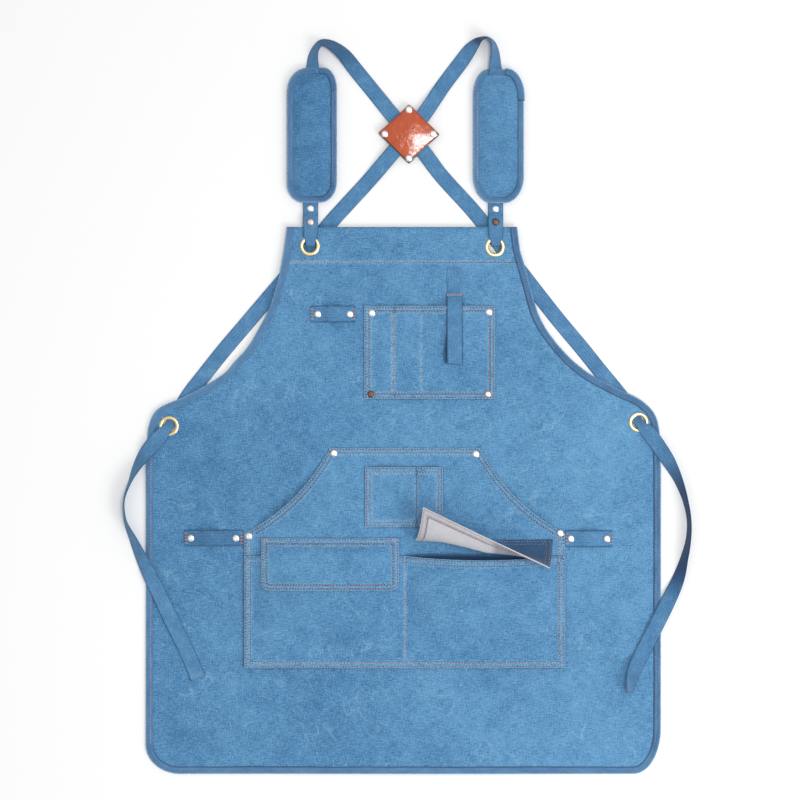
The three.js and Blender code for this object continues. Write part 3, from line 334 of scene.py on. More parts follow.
class Finish:
    """A material, built node by node round one Principled shader."""

    def __init__(self, name, fixed):
        self.material = bpy.data.materials.new(name)
        self.material.use_nodes = True
        self.tree = self.material.node_tree
        self.tree.nodes.clear()
        self.shader = self.tree.nodes.new("ShaderNodeBsdfPrincipled")
        output = self.tree.nodes.new("ShaderNodeOutputMaterial")
        self.tree.links.new(self.shader.outputs[0], output.inputs["Surface"])
        self.set(**fixed)

    def set(self, **sockets):
        for name, value in sockets.items():
            self.feed(self.shader.inputs[name.replace("_", " ").title().replace("Ior", "IOR")], value)

    def feed(self, socket, value):
        if isinstance(value, Signal):
            self.tree.links.new(value.socket, socket)
        else:
            socket.default_value = value

    def node(self, kind, settings=None, sockets=None, out=0):
        """One node: its settings first, then the values or links of its sockets."""
        node = self.tree.nodes.new(kind)
        for setting, value in (settings or {}).items():
            setattr(node, setting, value)
        for key, value in (sockets or {}).items():
            self.feed(node.inputs[key], value)
        return Signal(self, node.outputs[out])

    def mix(self, share, *colours):
        """From the first of two colours to the second."""
        first, second = (c if isinstance(c, Signal) else (*c, 1.0) for c in colours)
        return self.node("ShaderNodeMix", {"data_type": "RGBA"}, {0: share, 6: first, 7: second}, out=2)

    def place(self):
        """Where a point lies on its piece, in metres."""
        return self.node("ShaderNodeTexCoord", out="Object")

    def noise(self, place, scale, detail=2.0, rough=0.5, bent=0.0):
        return self.node("ShaderNodeTexNoise", {}, {
            "Vector": place, "Scale": scale, "Detail": detail, "Roughness": rough, "Distortion": bent})

    def stretched(self, place, by):
        return self.node("ShaderNodeVectorMath", {"operation": "MULTIPLY"}, {0: place, 1: by})

    def attribute(self, name):
        return self.node("ShaderNodeAttribute", {"attribute_name": name}, out="Vector")

    def parts(self, vector):
        first = self.node("ShaderNodeSeparateXYZ", {}, {0: vector})
        return first, first.also(1), first.also(2)

    def bump(self, height):
        """Normal for a height in millimetres."""
        return self.node("ShaderNodeBump", {}, {"Strength": 1.0, "Distance": MM, "Height": height})


def cloth_places(finish):
    """Places on cloth: its plan in millimetres, and how far the nearest row of stitches is.

    On webbing the last value is half the strap's width.
    """
    across, along, seam = finish.parts(finish.attribute("cloth"))
    plan = finish.node("ShaderNodeCombineXYZ", {}, {0: across, 1: along})
    return plan, across, along, seam


def canvas_finish(name, deep, pale, worn, seam_and_shade_colour, yarn, contrast=1.0, hem=0.0, creased=0.29):
    """Washed canvas: a plain weave with slubs, clouds of faded dye, pale creases and puckered seams, with
    painted shade in its seam grooves and along what lies on it.
    """
    finish = Finish(name, {"specular_ior_level": 0.25, "sheen_weight": 0.12, "sheen_roughness": 0.6})
    plan, across, along, seam = cloth_places(finish)
    rim, contact, tone = finish.parts(finish.attribute("edge"))
    turn = 2 * math.pi / yarn
    weave = (across * turn).sine() * (along * turn).sine()
    weft = finish.noise(finish.stretched(plan, (1 / 9, 1 / 1.1, 1)), 1.0, 2.0)
    warp = finish.noise(finish.stretched(plan, (1 / 1.1, 1 / 9, 1)), 1.0, 2.0)
    grain = finish.noise(plan, 1 / 1.65, 3.0, 0.65)
    mottle = finish.noise(plan, 1 / 24, 4.0, 0.65)
    cloud = finish.noise(plan, 1 / 190, 2.0)
    fade = (mottle - 0.5) * 0.85 + (cloud - 0.5) * 0.7 + (weft - 0.5) * 1.3 + (warp - 0.5) * 0.9
    fade = (fade + (grain - 0.5) * 2.4 + weave * 0.1) * contrast + tone + 0.5
    colour = finish.mix(fade.clip(), deep, pale)
    hem_line = rim.over(7.9, 8.7) * (1 - rim.over(9.4, 10.6)) * 0.8 + (1 - rim.over(8.2, 9.0)) * 0.16
    colour = finish.mix(hem_line * hem, colour, seam_and_shade_colour)
    crease = 0.0
    for stretch in ((1 / 90, 1 / 34, 1), (1 / 36, 1 / 80, 1), (1 / 52, 1 / 46, 1)):
        fold = finish.noise(finish.stretched(plan, stretch), 1.0, 2.0, 0.5, 0.35)
        where = finish.noise(finish.stretched(plan, (stretch[1] / 2, stretch[0], 1)), 1.0, 1.0)
        line = 1 - abs(fold - 0.5).over(0.0, 0.011)
        crease = crease + line * (where.over(0.42, 0.6) * 0.45 + where.over(0.58, 0.66) * 0.55)
    crease = crease * (grain.over(0.34, 0.58) * 0.55 + 0.45)
    colour = finish.mix((crease * creased).clip(), colour, worn)
    groove = 1 - seam.over(0.5, 1.4)
    pucker = finish.noise(plan, 1 / 2.6, 1.0).over(0.35, 0.65)
    beside = seam.over(0.7, 1.6) * (1 - seam.over(2.0, 4.2))
    colour = finish.mix(beside * pucker * 0.3, colour, worn)
    # Painted shade in the grooves beside the seams
    colour = finish.mix(groove * (0.62 - 0.4 * hem), colour, seam_and_shade_colour)
    rubbed = (1 - rim.over(0.5, 1.9)) * grain.over(0.35, 0.62)
    colour = finish.mix(rubbed * 0.4, colour, worn)
    # Painted shade: dark lines along the edges of what lies on the cloth, deeper where contact is below 0, as
    # in a gaping pouch and on the raised flap
    shade = (1 - contact.over(0.0, 1.9)) * 0.54 + (1 - contact.over(-6.0, -1.0)) * 0.4
    colour = finish.mix(shade, colour, seam_and_shade_colour)
    height = weave * 0.05 + (weft + warp) * 0.26 + grain * 0.2 + crease * 0.1
    height = height + beside * pucker * 0.3 - groove * 0.45
    finish.set(base_color=colour, roughness=0.84 + grain * 0.12, normal=finish.bump(height))
    return finish.material


def webbing_finish(name, deep, pale, worn, dark, rib):
    """Cotton webbing: ribs along the strap, crossed by weft yarns, with rubbed ribs, and painted shade along
    its edges and on its shaded stretches.
    """
    finish = Finish(name, {"specular_ior_level": 0.25, "sheen_weight": 0.15, "sheen_roughness": 0.5})
    plan, across, along, half = cloth_places(finish)
    ribs = abs((across * (math.pi / rib)).sine())
    weft = (along * (2 * math.pi / 1.6) + across * (math.pi / rib)).sine() * 0.5 + 0.5
    bands = (across * (2 * math.pi / 3.7)).sine()
    yarns = finish.noise(finish.stretched(plan, (1 / 0.8, 1 / 9, 1)), 1.0, 2.0)
    cloud = finish.noise(plan, 1 / 26, 3.0, 0.6)
    grain = finish.noise(plan, 1 / 1.4, 2.0)
    inside = half - abs(across)
    # Painted shade along the strap's edges
    edge_shade = 1 - inside.over(0.4, 1.3)
    # Painted shade from the strap's shade attribute; below 0 the webbing is painted lighter
    shaded = finish.parts(finish.attribute("shade"))[0]
    fade = ribs * 0.46 + weft * 0.14 + (yarns - 0.5) * 1.1 + (cloud - 0.5) * 0.7 + (grain - 0.5) * 1.5 + 0.18
    fade = fade - shaded * 0.3 + bands * 0.06
    colour = finish.mix(fade.clip(), deep, pale)
    rubbed = (cloud.over(0.5, 0.72) * ribs * grain.over(0.4, 0.7)) * 0.5
    colour = finish.mix(rubbed, colour, worn)
    colour = finish.mix(edge_shade * 0.5, colour, dark)
    colour = finish.mix(shaded.clip(), colour, dark)
    height = ribs * 0.3 + weft * ribs * 0.12 + grain * 0.08
    finish.set(base_color=colour, roughness=0.82 + grain * 0.12, normal=finish.bump(height))
    return finish.material


def binding_finish(name, deep, pale, worn, seam_and_shade_colour):
    """Twill tape: fine slanting ribs, pulled in along its row of stitches and rubbed on the fold, with
    painted shade in its stitch groove and along its inner edge.
    """
    finish = Finish(name, {"specular_ior_level": 0.25, "sheen_weight": 0.12, "sheen_roughness": 0.5})
    plan, across, along, seam = cloth_places(finish)
    rim, contact, tone = finish.parts(finish.attribute("edge"))
    twill = ((across + along) * (2 * math.pi / 1.5)).sine() * 0.5 + 0.5
    cloud = finish.noise(finish.stretched(plan, (1 / 9, 1 / 26, 1)), 1.0, 3.0, 0.6)
    grain = finish.noise(plan, 1 / 1.5, 2.0, 0.6)
    fade = twill * 0.25 + (cloud - 0.5) * 0.9 + (grain - 0.5) * 0.6 + tone + 0.36
    colour = finish.mix(fade.clip(), deep, pale)
    pucker = finish.noise(finish.stretched(plan, (1 / 7, 1 / 2.6, 1)), 1.0, 1.0)
    groove = 1 - seam.over(0.2, 1.3)
    # Painted shade in the groove of its stitches
    colour = finish.mix(groove * 0.4, colour, seam_and_shade_colour)
    colour = finish.mix((1 - rim.over(0.4, 2.2)) * grain.over(0.35, 0.6) * 0.6, colour, worn)
    # Painted shade along the tape's inner edge and at its ends
    colour = finish.mix((1 - contact.over(0.0, 1.6)) * 0.75, colour, seam_and_shade_colour)
    height = twill * 0.1 + grain * 0.1 + (pucker - 0.5) * 0.7 - groove * 0.4
    finish.set(base_color=colour, roughness=0.82 + grain * 0.12, normal=finish.bump(height))
    return finish.material


def thread_finish(name, tan, pale, dark):
    """Sewing thread that fades from tan to pale in stretches."""
    finish = Finish(name, {"specular_ior_level": 0.35, "sheen_weight": 0.1})
    place = finish.place()
    faded, dyed, _ = finish.parts(finish.attribute("tone"))
    stretch = finish.noise(place, 46.0, 2.0)
    share = (faded + (stretch - 0.5) * 1.6).clip()
    colour = finish.mix(share, tan, pale)
    colour = finish.mix(dyed, colour, dark)
    fibre = finish.noise(place, 1900.0, 1.0)
    finish.set(base_color=colour, roughness=0.6 + fibre * 0.2, normal=finish.bump(fibre * 0.12))
    return finish.material


def leather_finish(name, deep, pale, burnished_and_shade):
    """Oiled leather: clouded colour, fine grain, a waxed face and a burnished rim, with painted shade on the
    rim's lower edges.
    """
    finish = Finish(name, {"specular_ior_level": 0.7, "coat_roughness": 0.12})
    place = finish.place()
    rim, low, _ = finish.parts(finish.attribute("edge"))
    cloud = finish.noise(place, 46.0, 4.0, 0.6)
    grain = finish.node("ShaderNodeTexVoronoi", {"feature": "DISTANCE_TO_EDGE"},
                        {"Vector": place, "Scale": 900.0})
    pores = grain.over(0.02, 0.2)
    scuff = finish.noise(finish.stretched(place, (260.0, 60.0, 60.0)), 1.0, 3.0, 0.6)
    share = (cloud * 1.1 + (scuff - 0.5) * 0.5 - 0.02).clip()
    colour = finish.mix(share, deep, pale)
    colour = finish.mix((1 - pores) * 0.25, colour, deep)
    # Burnished rim all round, darker on its lower edges as painted shade
    colour = finish.mix((1 - rim.over(1.0, 2.6)) * (low * 0.7 + 0.3), colour, burnished_and_shade)
    wave = finish.noise(place, 70.0, 2.0)
    ripple = finish.noise(place, 130.0, 1.5)
    height = pores * 0.015 + wave * 0.8 + ripple * 0.5 + scuff * 0.03
    finish.set(base_color=colour, roughness=0.12 + scuff * 0.12, coat_weight=0.35 + cloud * 0.6,
               normal=finish.bump(height))
    return finish.material


def metal_finish(name, bright, dull, polish):
    """Pressed metal with fine scratches and clouded polish."""
    finish = Finish(name, {"metallic": 1.0})
    place = finish.place()
    cloud = finish.noise(place, 210.0, 3.0, 0.6)
    scratch = finish.noise(finish.stretched(place, (2600.0, 240.0, 240.0)), 1.0, 2.0)
    colour = finish.mix(cloud.over(0.52, 0.85) * 0.55, bright, dull)
    finish.set(base_color=colour, roughness=polish + cloud * 0.16 + scratch * 0.1,
               normal=finish.bump(scratch * 0.012))
    return finish.material


def floor_finish(name, pale):
    """A matt pale sweep with the faintest unevenness."""
    finish = Finish(name, {"specular_ior_level": 0.1})
    place = finish.place()
    cloud = finish.noise(place, 2.0, 3.0)
    colour = finish.mix(cloud * 0.03, pale, (0.8, 0.8, 0.8))
    finish.set(base_color=colour, roughness=0.85 + cloud * 0.1)
    return finish.material


FINISHES = {}


def make_finishes():
    scene = bpy.context.scene
    hues, sewing = scene.apron_colours, scene.apron_sewing
    # seam is the colour of the painted shade on the canvas and the binding
    yarn, seam, worn = sewing.yarn / MM, hues.canvas_shade, hues.canvas_worn
    canvas = (hues.canvas_deep, hues.canvas_pale, worn, seam, yarn)
    FINISHES.update({
        "canvas": canvas_finish("washed_canvas", *canvas),
        "pad": canvas_finish("pad_canvas", *canvas, contrast=0.8, creased=0.1),
        "reverse": canvas_finish("canvas_reverse", hues.reverse_deep, hues.reverse_pale, hues.reverse_pale,
                                 hues.reverse_hem_and_shade, yarn, contrast=0.6, hem=1.0, creased=0.2),
        "webbing": webbing_finish("cotton_webbing", hues.webbing_deep, hues.webbing_pale, worn,
                                  hues.webbing_shade, sewing.rib / MM),
        "binding": binding_finish("twill_binding", hues.binding_deep, hues.binding_pale, worn, seam),
        "thread": thread_finish("sewing_thread", hues.thread_tan, hues.thread_pale, hues.thread_dark),
        "leather": leather_finish("oiled_leather", hues.leather_deep, hues.leather_pale, hues.leather_rim_and_shade),
        "brass": metal_finish("pressed_brass", hues.brass, (0.36, 0.24, 0.09), 0.16),
        "rivet_steel": metal_finish("rivet_steel", hues.steel, (0.3, 0.29, 0.28), 0.14),
        "rivet_worn": metal_finish("rubbed_rivet", hues.steel_worn, (0.2, 0.13, 0.1), 0.24),
        "rivet_dark": metal_finish("worn_rivet", hues.steel_dark, (0.12, 0.07, 0.05), 0.3),
        "floor": floor_finish("pale_floor", hues.floor),
    })


# Heights of the lying cloth

PANEL_HALF = 344.0
FOLD_HEIGHT, FOLD_LENGTH = 2.0, 380.0
RIPPLE_HEIGHT = 0.55
# How high the skirt lies, and how much higher the waist and then the bib, which lie on the straps
SKIRT_LIFT, WAIST_LIFT, BIB_LIFT = 1.3, 1.5, 2.3
# Where the cloth climbs to the waist and to the bib: from y, to y
WAIST_CLIMB = (-200.0, -50.0)
BIB_CLIMB = (60.0, 195.0)
# Folded edges: how much higher they stand, and where they fall to the single cloth
HEM_RISE = 0.55
HEM_FALL = (8.6, 10.6)
# The two lobes of the lower pockets, from their middle: where each begins, and its width
LOBE_START, LOBE_WIDTH = 4.0, 196.0
# Shares of a flat pocket's height over which its slots open
SLOT_OPENS = (0.08, 0.5)
# The closed flap's lower edge stands off its pouch: by how much, and over which stretch of -y
FLAP_LIP = 0.8
FLAP_LIP_SPAN = (236.0, 248.0)


def smooth(value, low, high):
    """0 below low, 1 above high, and smooth between."""
    share = np.clip((value - low) / (high - low), 0.0, 1.0)
    return share * share * (3.0 - 2.0 * share)


def swell(x, y):
    """Low folds of the lying panel, flat along its sides and over the bib."""
    across = np.maximum(0.0, 1.0 - (x / PANEL_HALF) ** 2)
    wave = 0.5 + 0.5 * np.sin((0.6 * x + 0.8 * y) * 2 * math.pi / FOLD_LENGTH + 0.9)
    small = 0.5 + 0.25 * np.sin(x / 31.0 + 1.7 * np.sin(y / 67.0)) + 0.25 * np.sin(y / 43.0 + x / 90.0)
    return across * (FOLD_HEIGHT * (1.0 - smooth(y, *BIB_CLIMB)) * wave + RIPPLE_HEIGHT * small)


def panel_under(x, y):
    return SKIRT_LIFT + WAIST_LIFT * smooth(y, *WAIST_CLIMB) + BIB_LIFT * smooth(y, *BIB_CLIMB) + swell(x, y)


def panel_top(x, y):
    return panel_under(x, y) + CANVAS


def above(under, rise):
    """Heights that lie a rise over an underside."""
    return lambda x, y: under(x, y) + rise


def slot_puff(slots, x):
    puff = np.zeros_like(x)
    for start, end, height in slots:
        share = np.clip((x - start) / (end - start), 0.0, 1.0)
        puff = puff + height * np.sin(math.pi * share) ** 0.8
    return puff


def hem_rise(inside):
    """Folded edges stand a little higher than the single cloth."""
    return HEM_RISE * (1.0 - smooth(inside, *HEM_FALL))


def slotted_under(x, y, box, slots, carrier):
    """Underside of a flat pocket whose slots open towards its mouth."""
    up = np.clip((y - box["bottom"]) / (box["top"] - box["bottom"]), 0.0, 1.0)
    return carrier(x, y) + GAP + slot_puff(slots, x) * smooth(up, *SLOT_OPENS)


def chest_under(x, y):
    return slotted_under(x, y, CHEST, CHEST_SLOTS, panel_top)


def lobes(x):
    share = np.clip((np.abs(x - HAND["centre"]) - LOBE_START) / LOBE_WIDTH, 0.0, 1.0)
    return np.sin(math.pi * share) ** 0.8


def hand_under(x, y):
    down = (HAND["top"] - y) / (HAND["top"] - HAND["bottom"])
    puff = HAND_PUFF * lobes(x) * smooth(down, 0.04, 0.36) * (1.0 - smooth(down, 0.6, 0.97))
    return panel_top(x, y) + GAP + puff


def hand_side(x, y):
    """How far inside the sides and the bottom of the hand pocket."""
    return np.minimum(HAND["half"] - np.abs(x - HAND["centre"]), y - HAND["bottom"])


def hand_top(x, y):
    return hand_under(x, y) + CANVAS + hem_rise(hand_side(x, y))


def pouch_mouth(x):
    """The lower pocket's mouth sags where the right pouch gapes."""
    return POUCH_TOP - POUCH_SAG * lobes(x) * (x > HAND["centre"])


def pouch_under(x, y):
    down = np.clip((POUCH_TOP - y) / (POUCH_TOP - HAND["bottom"]), 0.0, 1.0)
    puff = np.where(x < HAND["centre"], POUCH_PUFF["left"], POUCH_PUFF["right"])
    return hand_top(x, y) + GAP + puff * lobes(x) * (1.0 - smooth(down, 0.1, 0.95))


def pouch_inside(x, y):
    return np.minimum(hand_side(x, y), np.abs(pouch_mouth(x) - y))


def pouch_top(x, y):
    return pouch_under(x, y) + CANVAS + hem_rise(pouch_inside(x, y))


def tool_patch_under(x, y):
    return slotted_under(x, y, TOOL_PATCH, TOOL_SLOTS, hand_top)


# Plan lines and grids


def stops(start, end, cell, fine=(0.0, 0.35, 0.9, 1.9)):
    """Places from start to end, close together near both ends."""
    length = abs(end - start)
    count = max(1, round((length - 2 * fine[-1]) / cell))
    inner = np.linspace(fine[-1], length - fine[-1], count + 1)
    steps = np.concatenate([fine[:-1], inner, length - np.array(fine[-2::-1])])
    return start + math.copysign(1.0, end - start) * steps


def rectangle(left, right, top, bottom):
    return np.array([(left, top), (left, bottom), (right, bottom), (right, top), (left, top)])


def box_line(box, by=0.0):
    """A box's outline, moved in by a distance."""
    return rectangle(box["left"] + by, box["right"] - by, box["top"] - by, box["bottom"] + by)


def box_grid(box, across, down):
    """Places over a box, from its upper left."""
    return np.meshgrid(stops(box["left"], box["right"], across), stops(box["top"], box["bottom"], down))


def box_inside(x, y, box):
    """How far inside a box each place lies."""
    return np.min([x - box["left"], box["right"] - x, box["top"] - y, y - box["bottom"]], axis=0)


def nearest_row(inside, *others):
    """Distance to the nearest row of stitches along an edge, or to others that are given."""
    return np.min([*(np.abs(inside - row) for row in ROWS), *others], axis=0)


def arc_of(run):
    """Distances along a run of places, from its start."""
    return np.concatenate([[0.0], np.cumsum(np.linalg.norm(np.diff(run, axis=0), axis=1))])


def spread(run, arc, where):
    """Places of a run at some distances along it."""
    return np.stack([np.interp(where, arc, column) for column in run.T], axis=1)


def eased(values, reach):
    """Values along a line with their corners rounded off."""
    kernel = np.hanning(2 * reach + 3)[1:-1]
    padded = np.pad(values, reach, mode="edge")
    return np.convolve(padded, kernel / kernel.sum(), mode="valid")


def distance_to(x, y, lines):
    """Distance from each place to the nearest of some lines."""
    spots = np.stack([np.ravel(x), np.ravel(y)], axis=1)
    nearest = np.full(len(spots), FAR)
    for line in lines:
        for start, step in zip(line[:-1], np.diff(line, axis=0)):
            offset = spots - start
            share = np.clip(offset @ step / max(step @ step, 1e-9), 0.0, 1.0)
            away = offset - share[:, None] * step
            nearest = np.minimum(nearest, np.hypot(away[:, 0], away[:, 1]))
    return nearest.reshape(np.shape(x))


def inward(run, ring=False):
    """Inward normals of a run that keeps the cloth on its left."""
    if ring:
        step = np.roll(run, -1, axis=0) - np.roll(run, 1, axis=0)
    else:
        step = np.gradient(run, axis=0)
    step = step / np.linalg.norm(step, axis=1, keepdims=True)
    return np.stack([-step[:, 1], step[:, 0]], axis=1)


def side_run(column, step):
    """One side of the panel, from the bib's top down and round the bottom corner."""
    corner_in, corner_up = CORNERS[column]
    corner = BOTTOM + corner_up
    ys = np.linspace(PANEL_TOP, corner, round((PANEL_TOP - corner) / step) + 1)
    fine = np.arange(*SIDE_SPAN, 1.0)
    xs = np.interp(ys, fine, eased(np.interp(fine, OUTLINE[::-1, 0], OUTLINE[::-1, column]), SIDE_ROUNDING))
    turn = np.linspace(0.0, math.pi / 2, 15)[1:]
    sign = 1.0 if column == LEFT else -1.0
    corner_x = xs[-1] + sign * corner_in * (1 - np.cos(turn))
    corner_y = corner - corner_up * np.sin(turn)
    return np.stack([np.append(xs, corner_x), np.append(ys, corner_y)], axis=1)


def edge_run(step):
    """The bound edge: down the left side, along the bottom and up the right side."""
    left, right = side_run(LEFT, step), side_run(RIGHT, step)
    count = round((right[-1, 0] - left[-1, 0]) / step)
    xs = np.linspace(left[-1, 0], right[-1, 0], count + 1)[1:-1]
    bottom = np.stack([xs, np.full_like(xs, BOTTOM)], axis=1)
    return np.concatenate([left, bottom, right[::-1]])


def mouth_at(share):
    """Half width and y of the hand pocket, a share of the way down its slanted mouth."""
    before, middle, after = (1 - share) ** 2, 2 * share * (1 - share), share ** 2
    half = before * HAND["top_half"] + middle * HAND_BEND[0] + after * HAND["half"]
    y = before * HAND["top"] + middle * HAND_BEND[1] + after * HAND["corner"]
    return half, y


def mouth_line(sign):
    """The hand pocket's slanted mouth on its left, -1, or on its right, 1."""
    half, y = mouth_at(np.linspace(0.0, 1.0, 40))
    return np.stack([HAND["centre"] + sign * half, y], axis=1)


def hand_outline():
    left, right = mouth_line(-1), mouth_line(1)
    low = [(HAND["centre"] - HAND["half"], HAND["bottom"]), (HAND["centre"] + HAND["half"], HAND["bottom"])]
    return np.concatenate([left, low, right[::-1], left[:1]])


# Meshes


def mark(mesh, name, values):
    """Writes an attribute of three values for each point of a mesh."""
    layer = mesh.attributes.get(name) or mesh.attributes.new(name, "FLOAT_VECTOR", "POINT")
    layer.data.foreach_set("vector", np.asarray(values, dtype=np.float32).ravel())


def add_piece(name, points, faces, finishes, slot, nodes=(), looks=None, **attributes):
    """A mesh from plan places in millimetres, with its attributes, that rides on the apron."""
    mesh = bpy.data.meshes.new(name)
    mesh.from_pydata(((np.asarray(points) + SHIFT) * MM).tolist(), [], [list(face) for face in faces])
    for finish in finishes:
        mesh.materials.append(FINISHES[finish])
    if looks is not None:
        mesh.polygons.foreach_set("material_index", np.asarray(looks, dtype=np.int32))
    for attribute, values in attributes.items():
        mark(mesh, attribute, values)
    mesh.shade_smooth()
    mesh.update()
    obj = bpy.data.objects.new(name, mesh)
    bpy.context.scene.collection.objects.link(obj)
    return settle(obj, nodes)


def settle(obj, nodes=()):
    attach(obj, "root")
    if nodes:
        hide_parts(*nodes)
    return obj


def wall_faces(rows, columns):
    """Faces of a wall between two grids: its face, its back and its rim."""
    index = np.arange(rows * columns).reshape(rows, columns)
    face = np.stack([index[:-1, :-1], index[1:, :-1], index[1:, 1:], index[:-1, 1:]], axis=-1).reshape(-1, 4)
    back = face[:, ::-1] + rows * columns
    ring = np.concatenate([index[:, 0], index[-1, 1:], index[-2::-1, -1], index[0, -2:0:-1]])
    after = np.roll(ring, -1)
    rim = np.stack([ring, ring + rows * columns, after + rows * columns, after], axis=-1)
    return face, back, rim


def by_place(*values):
    """Values over a grid, in rows: one for each place of its face, then one for each of its back."""
    rows = np.stack(np.broadcast_arrays(*values), axis=-1).reshape(-1, len(values))
    return np.tile(rows, (2, 1))


def add_sheet(name, x, y, under, top, nodes, inside=FAR, seam=FAR, contact=FAR, tone=0.0,
              finishes=("canvas", "reverse"), slot="canvas"):
    """Cloth between two heights over a grid of places, rounded off along its edges."""
    rounding = (top - under) * (1.0 - smooth(inside, 0.0, 0.9))
    heights = (top - 0.42 * rounding, under + 0.2 * rounding)
    faces = wall_faces(*x.shape)
    points = np.concatenate([np.stack([x, y, z], axis=-1).reshape(-1, 3) for z in heights])
    looks = np.repeat((0, 1, 0), [len(part) for part in faces])
    turn = hash_of(name)
    return add_piece(name, points, np.concatenate(faces), finishes, slot, nodes, looks,
                     cloth=by_place(x + turn % 89, y + turn % 53, seam),
                     edge=by_place(np.broadcast_to(inside, x.shape), contact, tone))


def hash_of(name):
    """A number from a piece's name that is the same every time."""
    return sum((k + 3) * ord(letter) for k, letter in enumerate(name))


def outward(points, faces):
    """Faces turned so that the closed mesh has its outside out."""
    volume = 0.0
    for face in faces:
        corner = points[face[0]]
        for second, third in zip(face[1:-1], face[2:]):
            volume += corner @ np.cross(points[second], points[third])
    return faces if volume > 0 else [list(face)[::-1] for face in faces]


def sweep_faces(stations, size, ring=False):
    """Faces of a section swept through stations, with flat ends unless it is a ring."""
    faces = []
    for i in range(stations if ring else stations - 1):
        a, b = i * size, (i + 1) % stations * size
        faces += [(a + k, b + k, b + (k + 1) % size, a + (k + 1) % size) for k in range(size)]
    if not ring:
        end = (stations - 1) * size
        faces += [tuple(range(size))[::-1], tuple(range(end, end + size))]
    return faces


def strap_curve(rows, step):
    """Stations along a strap's rows: places, tangents, and the row that each lies after, with its share."""
    line = np.array([row[:3] for row in rows], dtype=float)
    ends = np.concatenate([[2 * line[0] - line[1]], line, [2 * line[-1] - line[-2]]])
    places, tangents, spans = [], [], []
    for k in range(len(line) - 1):
        p0, p1, p2, p3 = ends[k:k + 4]
        d0, d1, d2 = (max(np.linalg.norm(b - a), 1e-4) ** 0.5 for a, b in ((p0, p1), (p1, p2), (p2, p3)))
        m1 = ((p1 - p0) / d0 - (p2 - p0) / (d0 + d1) + (p2 - p1) / d1) * d1
        m2 = ((p2 - p1) / d1 - (p3 - p1) / (d1 + d2) + (p3 - p2) / d2) * d1
        count = max(1, round(np.linalg.norm(p2 - p1) / step))
        shares = np.arange(count + (k == len(line) - 2)) / count
        for t in shares:
            c2, c3 = -3 * p1 + 3 * p2 - 2 * m1 - m2, 2 * p1 - 2 * p2 + m1 + m2
            place = p1 + m1 * t + c2 * t * t + c3 * t ** 3
            place[2] = min(max(place[2], min(p1[2], p2[2])), max(p1[2], p2[2]))
            tangent = m1 + 2 * c2 * t + 3 * c3 * t * t
            places.append(place)
            tangents.append(tangent / np.linalg.norm(tangent))
            spans.append((k, t))
    return np.array(places), np.array(tangents), spans


STRAP_SECTION = np.array([
    (-1, -0.5), (-0.97, -1), (-0.66, -1), (-0.33, -1), (0, -1), (0.33, -1), (0.66, -1), (0.97, -1), (1, -0.5),
    (1, 0.5), (0.97, 1), (0.66, 1), (0.33, 1), (0, 1), (-0.33, 1), (-0.66, 1), (-0.97, 1), (-1, 0.5),
])


def add_strap(name, rows, node, step=3.0, level=None, hem=0.0, shade=None):
    """A flat strap along its rows. Gives the middle of its face, its normal and its side at each station."""
    rows = [tuple(row) + (0.0, STRAP_WIDTH)[len(row) - 3:] for row in rows]
    places, tangents, spans = strap_curve(rows, step)
    twist, width = (np.array([rows[k][column] * (1 - t) + rows[k + 1][column] * t for k, t in spans])
                    for column in (3, 4))
    twist, width = np.radians(eased(twist, 3)), eased(width, 1)
    places[:, 2] = eased(places[:, 2], 1)
    arc = arc_of(places)
    thick = WEBBING + WEBBING * 0.8 * (arc > arc[-1] - hem)
    points, cloth, dark, ups = [], [], [], []
    for i, place in enumerate(places):
        side = np.array(level) if level is not None else np.cross((0.0, 0.0, 1.0), tangents[i])
        side = side / np.linalg.norm(side)
        upright = np.cross(tangents[i], side)
        lean, tilt = math.cos(twist[i]), math.sin(twist[i])
        across = side * lean + upright * tilt
        normal = np.cross(tangents[i], across)
        middle = place + (0.0, 0.0, width[i] / 2 * abs(tilt) + thick[i] / 2 * lean)
        # Painted shade: from the strap's shade function, and more where the strap stands on edge
        shaded = shade(*place[:2]) + 0.22 * abs(tilt) if shade else 0.0
        for u, w in STRAP_SECTION:
            points.append(middle + across * (u * width[i] / 2) + normal * (w * thick[i] / 2))
            cloth.append((u * STRAP_WIDTH / 2, arc[i], STRAP_WIDTH / 2))
            dark.append((shaded, 0.0, 0.0))
        ups.append((middle + normal * thick[i] / 2, normal, across))
    points = np.array(points)
    faces = outward(points, sweep_faces(len(places), len(STRAP_SECTION)))
    add_piece(name, points, faces, ("webbing",), "webbing", (node,), cloth=cloth, shade=dark)
    return ups


def folded_tape(width, cloth):
    """Section of a tape round an edge: how far in from its fold, and how high over the cloth's back."""
    low, high = -GAP - BINDING, cloth + GAP + BINDING
    radius = (high - low) / 2
    turn = np.linspace(-math.pi / 2, -3 * math.pi / 2, 9)
    fold = [(radius * (1 + math.cos(a)), (low + high) / 2 + radius * math.sin(a)) for a in turn]
    back = [(width, -GAP), (width, low + 0.35), (width - 0.4, low)]
    front = [(width * 0.62, high + 0.12), (width - 1.0, high - 0.05), (width, high - 0.45),
             (width, cloth + GAP)]
    return np.array(back + fold + front + [(BINDING + 1.2, cloth + GAP), (BINDING + 1.2, -GAP)])


